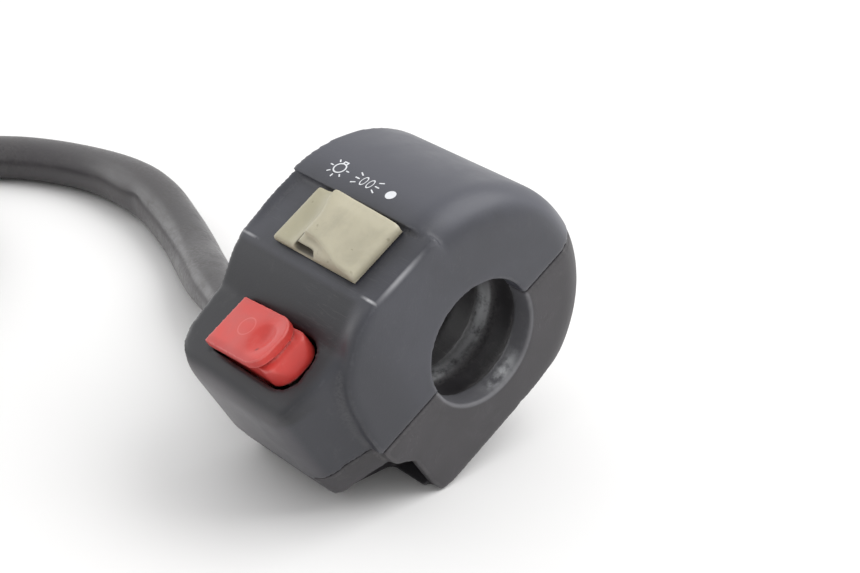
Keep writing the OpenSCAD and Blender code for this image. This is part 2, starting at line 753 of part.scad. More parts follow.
// Two fixed contacts and the saddle that the contact plate rocks on
module kill_contacts() {
    tail_n = kill_base_n - kill_base_t - kill_tail_l;
    color([0.8, 0.64, 0.32]) lying() {
        for (x = [-1, 1]) {
            rod_n(kill_rivet_r, tail_n, kill_base_n + 0.1, kill_x + x * rivet_x, kill_v);
            rod_n(kill_rivet_head, kill_base_n, rivet_top, kill_x + x * rivet_x, kill_v);
        }
        rod_n(kill_rivet_r, tail_n, kill_base_n + 0.1, kill_x, kill_v);
        translate([kill_x, 0, 0]) along_v(kill_v - saddle_half, kill_v + saddle_half)
            polygon([[-1.2, kill_base_n], [1.2, kill_base_n], [0.2, saddle_n], [-0.2, saddle_n]]);
    }
}

module kill_base_screws() {
    color([0.7, 0.7, 0.72]) lying() for (x = [-1, 1])
        small_screw(thin_screw_r, thin_screw_head, thin_head_h, kill_base_n - kill_base_t,
            kill_base_t + kill_screw_grip, kill_x + x * kill_post_x, kill_post_v);
}

// Clamp screws, from the clamp half up into the inserts
module clamp_screws() {
    color([0.62, 0.62, 0.64]) lying() for (i = [0, 1]) let (x = screw_x[i], v = (2 * i - 1) * screw_v) {
        rod_n(screw_r, seat_n - 0.1, insert_end - 1.5, x, v);
        difference() {
            rod_n(head_r, seat_n - head_h, seat_n, x, v);
            for (a = [0, 90]) translate([x, v, 0]) rotate([0, 0, a])
                block(-head_r * 0.6, head_r * 0.6, -0.4, 0.4, seat_n - head_h - cut, seat_n - head_h + 1.4);
        }
    }
}

module threaded_inserts() {
    color([0.8, 0.64, 0.32]) lying() difference() {
        boss_pair(insert_r, insert_n, insert_end);
        boss_pair(screw_r + 0.03, insert_n - cut, insert_end + cut);
    }
}

module cable_grommet() {
    color([0.1, 0.1, 0.1]) lying() translate([0, exit_v, exit_n]) difference() {
        rotate([0, 90, 0]) rotate_extrude() polygon([[0, -half - grommet_tail],
            [tube_r + 0.7, -half - grommet_tail], [grommet_neck, -half - 1.6],
            [grommet_lip + 0.5, -half - 1.4], [grommet_lip + 0.5, -half],
            [grommet_neck, -half], [grommet_neck, -half + wall], [grommet_lip - 0.2, -half + wall],
            [grommet_lip - 0.6, -half + wall + 1.2], [0, -half + wall + 1.2]]);
        rod_x(grommet_bore, -far, far);
    }
}

// Strap round the sleeve with a tab that is screwed to the clamp half
module cable_clip() {
    tab = clip_screw_v - 2;
    color([0.66, 0.66, 0.68]) lying() difference() {
        union() {
            rod_x(grommet_bore + clip_t, clip_x, clip_x + clip_w, exit_v, exit_n);
            block(clip_x, clip_x + clip_w, tab, exit_v, clip_tab_n, clip_tab_n + clip_t);
        }
        rod_x(grommet_bore, clip_x - cut, clip_x + clip_w + cut, exit_v, exit_n);
        rod_n(thin_screw_r + screw_play + seat_gap, -far, far, clip_x + clip_w / 2, clip_screw_v);
    }
}

module cable_clip_screw() {
    color([0.7, 0.7, 0.72]) lying() translate([clip_x + clip_w / 2, clip_screw_v, clip_tab_n + clip_t])
        mirror([0, 0, 1])
            small_screw(thin_screw_r, thin_screw_head, thin_head_h, 0, clip_t + clip_screw_grip, 0, 0);
}

// Leads from the end of the sleeve to the two switches, in the housing frame
module switch_leads() {
    from = sleeve_in + 0.1;
    kill_tail = kill_base_n - kill_base_t - kill_tail_l - lead_gap;
    light_tail_n = light_base_n - light_base_t - light_tail - lead_r - lead_gap;
    color([0.25, 0.35, 0.2]) lying() {
        tube(smooth([[from, -20.6, -8.8], [from + 2, -20.8, -8.6], [-5.6, -22.6, -7],
            [-5.3, kill_v + 0.3, -3.5], [kill_x - rivet_x, kill_v, kill_tail]], 4), lead_r, 6, [1, 0.3, 0]);
        tube(smooth([[from, -21.1, -6.2], [from + 2.4, -21.3, -6], [-2.5, -23.4, -4],
            [kill_x - 0.1, kill_v + 0.1, -1.2], [kill_x, kill_v, kill_tail]], 4), lead_r, 6, [-0.3, 1, 0]);
        tube(smooth([[from, -20.6, -3.6], [from + 2.4, -21.2, -3.2], [-1.5, -26.8, -1.6], [1.8, -26, -0.3],
            [4.3, -25.2, 1.1], [kill_x + rivet_x, kill_v, kill_tail]], 4), lead_r, 6, [-0.3, 1, 0]);
        tube(smooth([[from, -17.2, -4.4], [from + 1.1, -17, -4], [-7, -16.9, 1], [-7.2, -15.6, 8],
            [-6.6, -12.6, 12.2], [-slide_travel, recess_mid - light_row, light_tail_n]], 4),
            lead_r, 6, [1, -0.4, 0]);
        tube(smooth([[from, -15.8, -7.2], [from + 1.3, -15.6, -6.6], [-6.4, -15.2, -2], [-4.9, -15, 3],
            [-4.6, -14.2, 9], [-3.4, -11.8, 12.4], [0, recess_mid - light_row, light_tail_n]], 4),
            lead_r, 6, [1, -0.4, 0]);
    }
}

// Free stretch of the sleeve, from inside the grommet to the start of the coil
module harness_sleeve() { color([0.2, 0.19, 0.19]) tube(smooth(route, 3), tube_r, 10, [0, 0, 1]); }

coil_points = concat([route_end],
    [for (i = [0:coil_rings * coil_turns]) coil_point(coil_start + 360 * i / coil_rings)],
    [coil_point(coil_end), coil_stop]);

// Least gap of the coil to itself, between points at least half a turn apart
coil_gap = min([for (i = [0:len(coil_points) - 1]) for (j = [i + coil_rings / 2:1:len(coil_points) - 1])
    norm(coil_points[i] - coil_points[j])]) - sleeve_d;
echo(least_gap_of_coil_mm = coil_gap);

module harness_coil() { color([0.2, 0.19, 0.19]) tube(coil_points, tube_r, coil_sides, [0, 0, 1]); }

// Tie round the two passes that lie side by side, halfway along the coil's first straight
module coil_tie() {
    ring_step = 360 / coil_rings;
    chord = coil_point(coil_start + ring_step) - coil_point(coil_start);
    outer = (coil_point(coil_start) + coil_point(coil_start + ring_step)) / 2;
    inner = (coil_point(coil_start + 360) + coil_point(coil_start + 360 + ring_step)) / 2;
    color([0.12, 0.12, 0.12]) translate((outer + inner) / 2) rotate([0, 0, atan2(chord[1], chord[0]) - 90])
        rotate([90, 0, 0]) translate([0, 0, -2]) difference() {
            tie_loop(tube_r + 0.1 + tie_t, norm(outer - inner), 4, 0);
            tie_loop(tube_r + 0.1, norm(outer - inner), 4, cut);
        }
}
module tie_loop(r, apart, w, more) {
    for (side = [-1, 1]) translate([side * apart / 2, 0, -more]) cylinder(r = r, h = w + 2 * more);
    translate([-apart / 2, -r, -more]) cube([apart, 2 * r, w + 2 * more]);
}

// Tape round the end of the sleeve
module tape_wrap() {
    color([0.1, 0.1, 0.11]) translate(coil_stop - (end_run - 1) * end_heading)
        rotate([0, 0, atan2(end_heading[1], end_heading[0])]) rotate([0, 90, 0]) difference() {
            cylinder(r = tube_r + 0.45, h = end_run + 2);
            translate([0, 0, -cut]) cylinder(r = tube_r + 0.05, h = end_run + 2 + 2 * cut);
        }
}

function plug_wire(i) = let (s = (i - (wire_count - 1) / 2) * 2.4,
        from = coil_stop + 0.1 * end_heading + end_inward * s * 0.83,
        to = [plug_back[0], plug_back[1], plug_wire_z] + plug_side * s)
    [from, from + 3.5 * end_heading, from + 8 * end_heading + (2 + 0.1 * s) * end_inward,
        to - 3 * plug_dir, to - 0.02 * plug_dir];
module connector_wires() {
    color([0.3, 0.3, 0.16]) for (i = [0:wire_count - 1]) tube(smooth(plug_wire(i), 4), wire_r, 6, [0, 0, 1]);
}

// Places a piece of the connector: its length along x from its back, its floor on the surface
module plugged() { translate([plug_back[0], plug_back[1], table_z]) rotate([0, 0, plug_angle]) children(); }

module cavities() {
    for (i = [-1:1]) for (j = [-0.5, 0.5])
        translate([0, i * cavity_pitch_w, plug_h / 2 + j * cavity_pitch_h]) children();
}

module connector_housing() {
    color([0.88, 0.87, 0.82]) plugged() difference() {
        union() {
            translate([0, -plug_w / 2, 0]) cube([plug_l, plug_w, plug_h]);
            translate([4, -2.5, plug_h - 0.1]) cube([plug_l - 6, 5, 1.3]);
            translate([plug_l - 5, -2.5, plug_h]) cube([2.4, 5, 2.2]);
        }
        cavities() translate([plug_l - cavity_deep, -cavity_w / 2, -cavity_h / 2])
            cube([cavity_deep + cut, cavity_w, cavity_h]);
    }
}

module connector_terminals() {
    color([0.78, 0.7, 0.45]) plugged() cavities() translate([plug_l - cavity_deep, -1.2, -0.4])
        cube([cavity_deep - 2, 2.4, 0.8]);
}

switch_housing();
clamp_housing();
light_slide_knob();
light_carriage();
light_moving_contact();
light_detent_ball();
light_detent_spring();
light_base();
light_contacts();
light_base_screws();
kill_rocker();
kill_pivot_pins();
kill_plunger();
kill_plunger_spring();
kill_contact_plate();
kill_base();
kill_contacts();
kill_base_screws();
clamp_screws();
threaded_inserts();
cable_grommet();
cable_clip();
cable_clip_screw();
switch_leads();
harness_sleeve();
harness_coil();
coil_tie();
tape_wrap();
connector_wires();
connector_housing();
connector_terminals();
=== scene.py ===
"""Right-hand handlebar switch cluster: the dressed model, laid out as an add-on and run as a script."""
import json
from math import atan2, cos, pi, radians, sin

import bpy
import numpy as np
from bpy.props import FloatProperty, FloatVectorProperty, IntProperty, PointerProperty
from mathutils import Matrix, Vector

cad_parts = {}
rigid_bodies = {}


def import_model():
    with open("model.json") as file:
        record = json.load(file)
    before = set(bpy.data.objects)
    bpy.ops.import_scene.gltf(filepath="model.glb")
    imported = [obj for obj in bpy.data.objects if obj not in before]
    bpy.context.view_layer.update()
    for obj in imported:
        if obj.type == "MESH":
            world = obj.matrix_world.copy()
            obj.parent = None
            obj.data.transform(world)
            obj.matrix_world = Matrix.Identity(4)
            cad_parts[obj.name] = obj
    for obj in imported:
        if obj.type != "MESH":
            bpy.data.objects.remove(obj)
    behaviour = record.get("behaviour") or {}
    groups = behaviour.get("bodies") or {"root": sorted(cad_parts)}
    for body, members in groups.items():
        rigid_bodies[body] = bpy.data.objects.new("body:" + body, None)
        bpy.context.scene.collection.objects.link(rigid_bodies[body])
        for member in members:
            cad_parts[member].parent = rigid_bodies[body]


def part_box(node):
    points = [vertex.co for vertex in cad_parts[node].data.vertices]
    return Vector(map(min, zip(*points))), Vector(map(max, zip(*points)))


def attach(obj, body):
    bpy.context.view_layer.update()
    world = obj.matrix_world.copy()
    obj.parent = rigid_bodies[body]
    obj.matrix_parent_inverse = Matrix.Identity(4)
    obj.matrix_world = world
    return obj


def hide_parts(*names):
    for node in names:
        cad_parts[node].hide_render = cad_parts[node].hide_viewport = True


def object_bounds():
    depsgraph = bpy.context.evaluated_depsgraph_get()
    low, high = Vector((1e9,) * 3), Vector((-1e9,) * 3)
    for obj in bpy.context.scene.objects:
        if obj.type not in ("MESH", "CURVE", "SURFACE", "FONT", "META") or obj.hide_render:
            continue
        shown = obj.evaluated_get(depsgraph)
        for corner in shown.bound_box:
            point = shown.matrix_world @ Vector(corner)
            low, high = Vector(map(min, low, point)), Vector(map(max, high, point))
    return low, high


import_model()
CAD_BOX = [list(corner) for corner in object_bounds()]

bl_info = {
    "name": "Handlebar switch dressing",
    "version": (1, 0, 0),
    "blender": (4, 5, 0),
    "location": "View3D > Sidebar > Switch",
    "description": "Dresses the solids of a handlebar switch cluster with its visible surfaces and finishes",
    "category": "Object",
}

MM = 0.001
ROLL = radians(30)
FLOOR_Z = CAD_BOX[0][2]

# Housing frame, in millimetres: x along the bar, v towards the round back, n out of the switch face
HOOD_R = 26.4
CREASE_V = -12.0
RECESS_N = 25.0
KILL_X = -0.2
KILL_V = -25.15
KILL_N = 14.8
NOSE_REACH = 35.0
PLATE_X = 14.7
BORDER_X = 17.0
REST_ROCK = radians(-9)

CAMERA_AT = (0.2084, -0.1824, 0.1546)
CAMERA_AIM = (-0.655, 0.585, -0.479)
CAMERA_LENS = 77.44
CAMERA_SENSOR = 36
FLOOR_SIZE = 6
FLOOR_GAP = 0.00005
# Area lamps: place, aim, size and energy
LAMPS = {"key_light": ((0.26, 0.36, 0.56), (0, 0, 0), 0.6, 2.9),
         "fill_light": ((-0.60, -0.14, 0.09), (0, -0.03, 0), 0.5, 1.1)}
# World light for diffuse rays: brightest from this way, between these levels
SKY_WAY = (0.1, 0.75, 0.65)
SKY_LOW, SKY_HIGH = 0.5, 0.94

TONE_LOW, TONE_HIGH = 0.3, 0.7
WEIGHT_LEVELS = 20
BEVEL_ANGLE = radians(40)
CRISP_ANGLE = radians(35)


def linear(red, green, blue):
    """A display colour, 0 to 255, as linear values."""
    parts = [value / 255 for value in (red, green, blue)]
    return tuple(p / 12.92 if p <= 0.04045 else ((p + 0.055) / 1.055) ** 2.4 for p in parts)


def tone(red, green, blue):
    """A display colour, 0 to 255, as a linear colour with its alpha."""
    return linear(red, green, blue) + (1.0,)


def lying(x, v, n):
    """A point of the housing frame, in millimetres, as it lies in the shared frame."""
    return Vector((x, v * cos(ROLL) - n * sin(ROLL), v * sin(ROLL) + n * cos(ROLL))) * MM


def in_housing(points):
    """World points in metres as x, v and n of the housing frame, in millimetres."""
    x, y, z = (points / MM).T
    return x, y * cos(ROLL) + z * sin(ROLL), z * cos(ROLL) - y * sin(ROLL)


def placed(x, v, n):
    """Arrays of the housing frame, in millimetres, as world points in metres."""
    return np.column_stack((x, v * cos(ROLL) - n * sin(ROLL), v * sin(ROLL) + n * cos(ROLL))) * MM


def step(value, low, high):
    """Smooth step of an array from 0 at low to 1 at high."""
    t = np.clip((value - low) / (high - low), 0, 1)
    return t * t * (3 - 2 * t)


def hill(value, centre, width):
    """A smooth rise of an array to 1 at a centre."""
    return np.exp(-((value - centre) / width) ** 2)


def length_value(name, description, default, low, high):
    return FloatProperty(name=name, description=description, default=default, min=low, max=high, precision=5,
                         unit="LENGTH")


def pass_count(name, description, default, high=200):
    return IntProperty(name=name, description=description, default=default, min=0, max=high)


def paint_value(name, description, default):
    return FloatVectorProperty(name=name, description=description, subtype="COLOR", default=default, min=0, max=1)


class SwitchSizes(bpy.types.PropertyGroup):
    shell_voxel: length_value("Shell detail", "Facet size of the two housing shells", 0.00045, 0.0003, 0.001)
    knob_voxel: length_value("Knob detail", "Facet size of the light slide knob", 0.0002, 0.0001, 0.0005)
    rocker_voxel: length_value("Rocker detail", "Facet size of the engine-stop rocker", 0.00017, 0.0001, 0.0005)
    nose_passes: pass_count("Nose softness", "Smoothing passes that round the corners of the nose", 20)
    face_passes: pass_count("Face softness", "Smoothing passes that round the edges of the switch face", 7, 100)
    skirt_passes: pass_count("Skirt softness", "Smoothing passes that round the skirt of the rocker", 50)
    knob_passes: pass_count("Knob softness", "Smoothing passes that round the edges of the knob", 70)
    sleeve_d: length_value("Sleeve diameter", "Diameter of the round harness sleeve", 0.0095, 0.006, 0.014)
    sleeve_flat: length_value("Flattened half width", "Half width of the sleeve where it lies flattened",
                              0.0051, 0.0045, 0.007)
    sleeve_low: length_value("Flattened half height", "Half height of the sleeve where it lies flattened",
                             0.0047, 0.003, 0.005)
    stroke: length_value("Print stroke", "Width of the printed lines on the hood", 0.00025, 0.0001, 0.001)


class SwitchColours(bpy.types.PropertyGroup):
    shell: paint_value("Switch half", "Moulded plastic of the switch half", linear(61, 62, 69))
    clamp: paint_value("Clamp half", "Moulded plastic of the clamp half", linear(60, 58, 61))
    knob: paint_value("Light knob", "Yellowed plastic of the light slide knob", linear(186, 180, 158))
    rocker: paint_value("Stop rocker", "Faded red plastic of the engine-stop rocker", linear(206, 60, 54))
    sleeve: paint_value("Harness sleeve", "Vinyl of the harness sleeve", linear(52, 49, 52))
    ink: paint_value("Print", "Ink of the printed symbols", linear(236, 238, 242))
    dust: paint_value("Dust", "Dust in the hollows and in the bore", linear(170, 168, 166))
    floor: paint_value("Floor", "Plain pale floor", (0.93, 0.925, 0.92))


def sizes():
    return bpy.context.scene.switch_sizes


def colour(name):
    return (*getattr(bpy.context.scene.switch_colours, name), 1.0)


# Objects


def pick(*objects):
    """Selects these objects alone, the first of them active."""
    bpy.ops.object.select_all(action="DESELECT")
    for item in objects:
        item.select_set(True)
    bpy.context.view_layer.objects.active = objects[0]


def new_object(name, mesh):
    made = bpy.data.objects.new(name, mesh)
    bpy.context.scene.collection.objects.link(made)
    return made


def open_mesh(item, action="SELECT"):
    """Opens a mesh for editing, with all of it or none of it selected."""
    pick(item)
    bpy.ops.object.mode_set(mode="EDIT")
    bpy.ops.mesh.select_all(action=action)


def node_copy(node, name):
    """A new object with a merged copy of a node's mesh."""
    made = new_object(name, bpy.data.objects[node].data.copy())
    made.data.name = name
    made.data.materials.clear()
    open_mesh(made)
    bpy.ops.mesh.remove_doubles(threshold=1e-6)
    bpy.ops.object.mode_set(mode="OBJECT")
    return made


def modify(item, kind, **settings):
    """Adds a modifier with its settings and applies it."""
    pick(item)
    modifier = item.modifiers.new(kind.lower(), kind)
    for key, value in settings.items():
        setattr(modifier, key, value)
    bpy.ops.object.modifier_apply(modifier=modifier.name)


def weigh(item, name, weights):
    """A vertex group with one weight for each point."""
    group = item.vertex_groups.new(name=name)
    levels = np.round(np.clip(weights, 0, 1) * WEIGHT_LEVELS).astype(int)
    for level in range(1, WEIGHT_LEVELS + 1):
        members = np.nonzero(levels == level)[0]
        if len(members):
            group.add(members.tolist(), level / WEIGHT_LEVELS, "REPLACE")


def relax(item, passes, weights=None):
    """Smooths a mesh, more where its weights are higher."""
    settings = {"factor": 0.5, "iterations": passes}
    if weights is not None:
        weigh(item, "relax", weights)
        settings["vertex_group"] = "relax"
    modify(item, "SMOOTH", **settings)
    if weights is not None:
        item.vertex_groups.remove(item.vertex_groups["relax"])


def points_of(item):
    flat = np.empty(len(item.data.vertices) * 3)
    item.data.vertices.foreach_get("co", flat)
    return flat.reshape(-1, 3)


def move_points(item, points):
    item.data.vertices.foreach_set("co", np.ascontiguousarray(points, dtype=np.float32).ravel())
    item.data.update()


def mark_edges(item, spread, gain=12.8):
    """Writes how far each point stands out as an edge or lies in a hollow."""
    mesh = item.data
    count = len(mesh.vertices)
    place = points_of(item)
    flat = np.empty(count * 3)
    mesh.vertices.foreach_get("normal", flat)
    normal = flat.reshape(-1, 3)
    ends = np.empty(len(mesh.edges) * 2, dtype=np.int64)
    mesh.edges.foreach_get("vertices", ends)
    ends = ends.reshape(-1, 2)
    degree = np.maximum(np.bincount(ends.ravel(), minlength=count), 1)

    def around(values):
        total = np.zeros_like(values)
        np.add.at(total, ends[:, 0], values[ends[:, 1]])
        np.add.at(total, ends[:, 1], values[ends[:, 0]])
        return total / degree.reshape((-1,) + (1,) * (values.ndim - 1))

    length = np.linalg.norm(place[ends[:, 0]] - place[ends[:, 1]], axis=1).mean()
    bend = np.einsum("ij,ij->i", around(place) - place, normal) / length
    for _ in range(spread):
        bend = 0.5 * bend + 0.5 * around(bend)
    for name, values in (("edge", -bend), ("hollow", bend)):
        layer = mesh.attributes.new(name, "FLOAT", "POINT")
        layer.data.foreach_set("value", np.clip(values * gain, 0, 1).astype(np.float32))


def settle(item, body, slot, *nodes, smooth=True):
    """Shades a piece, hangs it on the body it rides on and hides the nodes it stands for; its slot is not used."""
    pick(item)
    if smooth:
        bpy.ops.object.shade_smooth()
    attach(item, body)
    if nodes:
        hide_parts(*nodes)


def bevel(item, width):
    modify(item, "BEVEL", width=width, segments=2, limit_method="ANGLE", angle_limit=BEVEL_ANGLE)


def dress(item, finish, slot, node):
    """Gives a hard piece of the housing its finish and crisp shading."""
    item.data.materials.append(finish)
    settle(item, "housing", slot, node, smooth=False)
    bpy.ops.object.shade_smooth_by_angle(angle=CRISP_ANGLE)
    return item


# Shader nodes


def add(tree, kind, inputs=None, **settings):
    """A node with its settings and its inputs, which are values or sockets."""
    made = tree.nodes.new(kind)
    for key, value in settings.items():
        setattr(made, key, value)
    for key, value in (inputs or {}).items():
        if isinstance(value, bpy.types.NodeSocket):
            tree.links.new(value, made.inputs[key])
        else:
            made.inputs[key].default_value = value
    return made


def tree_of(*values):
    """The node tree of the first socket among some values."""
    return next(value.id_data for value in values if isinstance(value, bpy.types.NodeSocket))


def sums(operation, a, b=0.0, clamp=False):
    return add(tree_of(a, b), "ShaderNodeMath", {0: a, 1: b}, operation=operation, use_clamp=clamp).outputs[0]


def times(product, *others):
    """The product of several values or sockets."""
    for other in others:
        product = sums("MULTIPLY", product, other)
    return product


def between(value, low, high, to_low=0.0, to_high=1.0):
    """A value stretched smoothly from one range to another."""
    ends = {"From Min": low, "From Max": high, "To Min": to_low, "To Max": to_high}
    return add(value.id_data, "ShaderNodeMapRange", {"Value": value, **ends},
               interpolation_type="SMOOTHSTEP").outputs["Result"]


def band(value, centre, width):
    """One at a centre and nothing beyond a width on both sides."""
    away = sums("ABSOLUTE", sums("SUBTRACT", value, centre))
    return between(away, 0.0, width, 1.0, 0.0)


def blend(factor, a, b):
    return add(tree_of(factor, a, b), "ShaderNodeMix", {0: factor, 6: a, 7: b}, data_type="RGBA").outputs[2]


def noise(vector, scale, detail=3.0, rough=0.55, warp=0.0):
    inputs = {"Vector": vector, "Scale": scale, "Detail": detail, "Roughness": rough, "Distortion": warp}
    return add(vector.id_data, "ShaderNodeTexNoise", inputs).outputs["Fac"]


def group(name, inputs, outputs):
    """An empty shader group with its sockets; an input without a default is a vector."""
    tree = bpy.data.node_groups.new(name, "ShaderNodeTree")
    for label, default in inputs:
        kind = "NodeSocketVector" if default is None else "NodeSocketFloat"
        socket = tree.interface.new_socket(label, in_out="INPUT", socket_type=kind)
        if default is not None:
            socket.default_value = default
    for label in outputs:
        tree.interface.new_socket(label, in_out="OUTPUT", socket_type="NodeSocketFloat")
    return tree, tree.nodes.new("NodeGroupInput").outputs, tree.nodes.new("NodeGroupOutput").inputs


def grain_group():
    """Fine moulded grain: a height for bump and a slow tone for colour and gloss."""
    tree, given, result = group("Moulded grain", [("Vector", None), ("Scale", 2600.0), ("Slow scale", 70.0)],
                                ["Height", "Tone"])
    fine = noise(given["Vector"], given["Scale"], 2.0, 0.6)
    cells = add(tree, "ShaderNodeTexVoronoi", {"Vector": given["Vector"], "Scale": given["Scale"]},
                feature="SMOOTH_F1").outputs["Distance"]
    tree.links.new(sums("ADD", fine, times(cells, 0.4)), result["Height"])
    tree.links.new(noise(given["Vector"], given["Slow scale"], 4.0, 0.6, 0.4), result["Tone"])
    return tree


def wear_group():
    """Rubbed edges, broken up by noise."""
    tree, given, result = group("Edge wear", [("Vector", None), ("Edge", 0.0), ("Scale", 420.0), ("Reach", 0.5)],
                                ["Mask"])
    broken = noise(given["Vector"], given["Scale"], 4.0, 0.7)
    level = sums("ADD", given["Edge"], times(broken, 0.7))
    level = sums("SUBTRACT", level, given["Reach"])
    tree.links.new(between(level, 0.25, 0.75), result["Mask"])
    return tree


def dust_group():
    """Dust and dried dirt that gathers in hollows and in loose patches."""
    tree, given, result = group("Dust", [("Vector", None), ("Hollow", 0.0), ("Scale", 260.0), ("Amount", 0.3)],
                                ["Mask"])
    patches = noise(given["Vector"], given["Scale"], 6.0, 0.72, 0.5)
    speck = noise(given["Vector"], times(given["Scale"], 9.0), 2.0, 0.6)
    level = sums("ADD", times(given["Hollow"], 0.6), patches)
    body = between(sums("SUBTRACT", level, sums("SUBTRACT", 1.0, given["Amount"])), -0.12, 0.22)
    tree.links.new(times(body, between(speck, 0.3, 0.62)), result["Mask"])
    return tree


def scuff_group():
    """Fine hairline scratches in two directions."""
    tree, given, result = group("Scuffs", [("Vector", None), ("Scale", 60.0), ("Amount", 0.5)], ["Mask"])
    total = None
    for turn, squeeze in ((0.5, 26.0), (-1.1, 34.0)):
        drawn = add(tree, "ShaderNodeMapping", {"Vector": given["Vector"], "Rotation": (0.4, turn, turn * 0.7),
                                                "Scale": (1.0, squeeze, 6.0)}).outputs[0]
        lines = noise(drawn, given["Scale"], 2.0, 0.5, 0.15)
        line = between(sums("ABSOLUTE", sums("SUBTRACT", lines, 0.5)), 0.0, 0.012, 1.0, 0.0)
        patch = noise(given["Vector"], times(given["Scale"], 1.7 + turn), 2.0)
        line = times(line, between(patch, 0.52, 0.68))
        total = line if total is None else sums("MAXIMUM", total, line)
    tree.links.new(sums("MULTIPLY", total, given["Amount"], clamp=True), result["Mask"])
    return tree


GROUPS = {"Moulded grain": grain_group, "Edge wear": wear_group, "Dust": dust_group, "Scuffs": scuff_group}


def use(tree, label, **inputs):
    """Places a shared group and gives its outputs by name."""
    named = {key.replace("_", " ").capitalize(): value for key, value in inputs.items()}
    shared = bpy.data.node_groups.get(label) or GROUPS[label]()
    return add(tree, "ShaderNodeGroup", named, node_tree=shared).outputs


def grained(place, scale, slow_scale):
    return use(place.id_data, "Moulded grain", vector=place, scale=scale, slow_scale=slow_scale)


def dusty(place, scale, amount):
    tree = place.id_data
    hollow = attribute(tree, "hollow")
    return use(tree, "Dust", vector=place, hollow=hollow, scale=scale, amount=amount)["Mask"]


def worn(place, scale, reach):
    tree = place.id_data
    return use(tree, "Edge wear", vector=place, edge=attribute(tree, "edge"), scale=scale, reach=reach)["Mask"]


def scuffed(place, scale, amount):
    return use(place.id_data, "Scuffs", vector=place, scale=scale, amount=amount)["Mask"]


def finish_tree(name):
    """A new material, its tree, its principled shader and its object coordinates."""
    made = bpy.data.materials.new(name)
    made.use_nodes = True
    tree = made.node_tree
    tree.nodes.clear()
    shader = tree.nodes.new("ShaderNodeBsdfPrincipled")
    output = tree.nodes.new("ShaderNodeOutputMaterial")
    tree.links.new(shader.outputs[0], output.inputs["Surface"])
    place = tree.nodes.new("ShaderNodeTexCoord").outputs["Object"]
    return made, tree, shader, place


def housing_axes(tree, place):
    """Sockets of x, v and n of the housing frame, in millimetres."""
    turned = add(tree, "ShaderNodeMapping", {"Vector": place, "Rotation": (-ROLL, 0, 0), "Scale": (1 / MM,) * 3})
    axes = add(tree, "ShaderNodeSeparateXYZ", {0: turned.outputs[0]}).outputs
    return axes[0], axes[1], axes[2]


def attribute(tree, name):
    return add(tree, "ShaderNodeAttribute", attribute_name=name).outputs["Fac"]


def wire_up(shader, base, rough, height, strength, distance=0.00006, **values):
    """Links colour, roughness and bump to the shader, and sets its other values."""
    tree = shader.id_data
    tree.links.new(base, shader.inputs["Base Color"])
    tree.links.new(rough, shader.inputs["Roughness"])
    bump = add(tree, "ShaderNodeBump", {"Height": height, "Strength": strength, "Distance": distance})
    tree.links.new(bump.outputs[0], shader.inputs["Normal"])
    for key, value in values.items():
        shader.inputs[key.replace("_", " ").title()].default_value = value


def shade(name, amount):
    """A named colour made darker or lighter."""
    return (*(part * amount for part in colour(name)[:3]), 1.0)


def toned(grain, low=0.0, high=1.0):
    """The slow tone of the grain, stretched from low to high."""
    return between(grain["Tone"], TONE_LOW, TONE_HIGH, low, high)


def two_tone(grain, name, dark, light):
    """A named colour that wanders between a darker and a lighter shade."""
    return blend(toned(grain), shade(name, dark), shade(name, light))


def coat(base, paint, *masks):
    """Paint laid over a base as far as its masks say together."""
    return blend(times(*masks), base, paint)


def bar_reach(v, n):
    """Distance from the axis of the bar."""
    return sums("SQRT", sums("ADD", times(v, v), times(n, n)))


def groove_shade(x):
    """How dark the bore is along the bar: its grooves more than its ridges and its lip."""
    inner = sums("MAXIMUM", band(x, 0.6, 2.6), band(x, -8.0, 5.0))
    grooves = sums("MAXIMUM", band(x, 10.6, 2.6), inner)
    return sums("ADD", 0.15, times(grooves, 0.7))


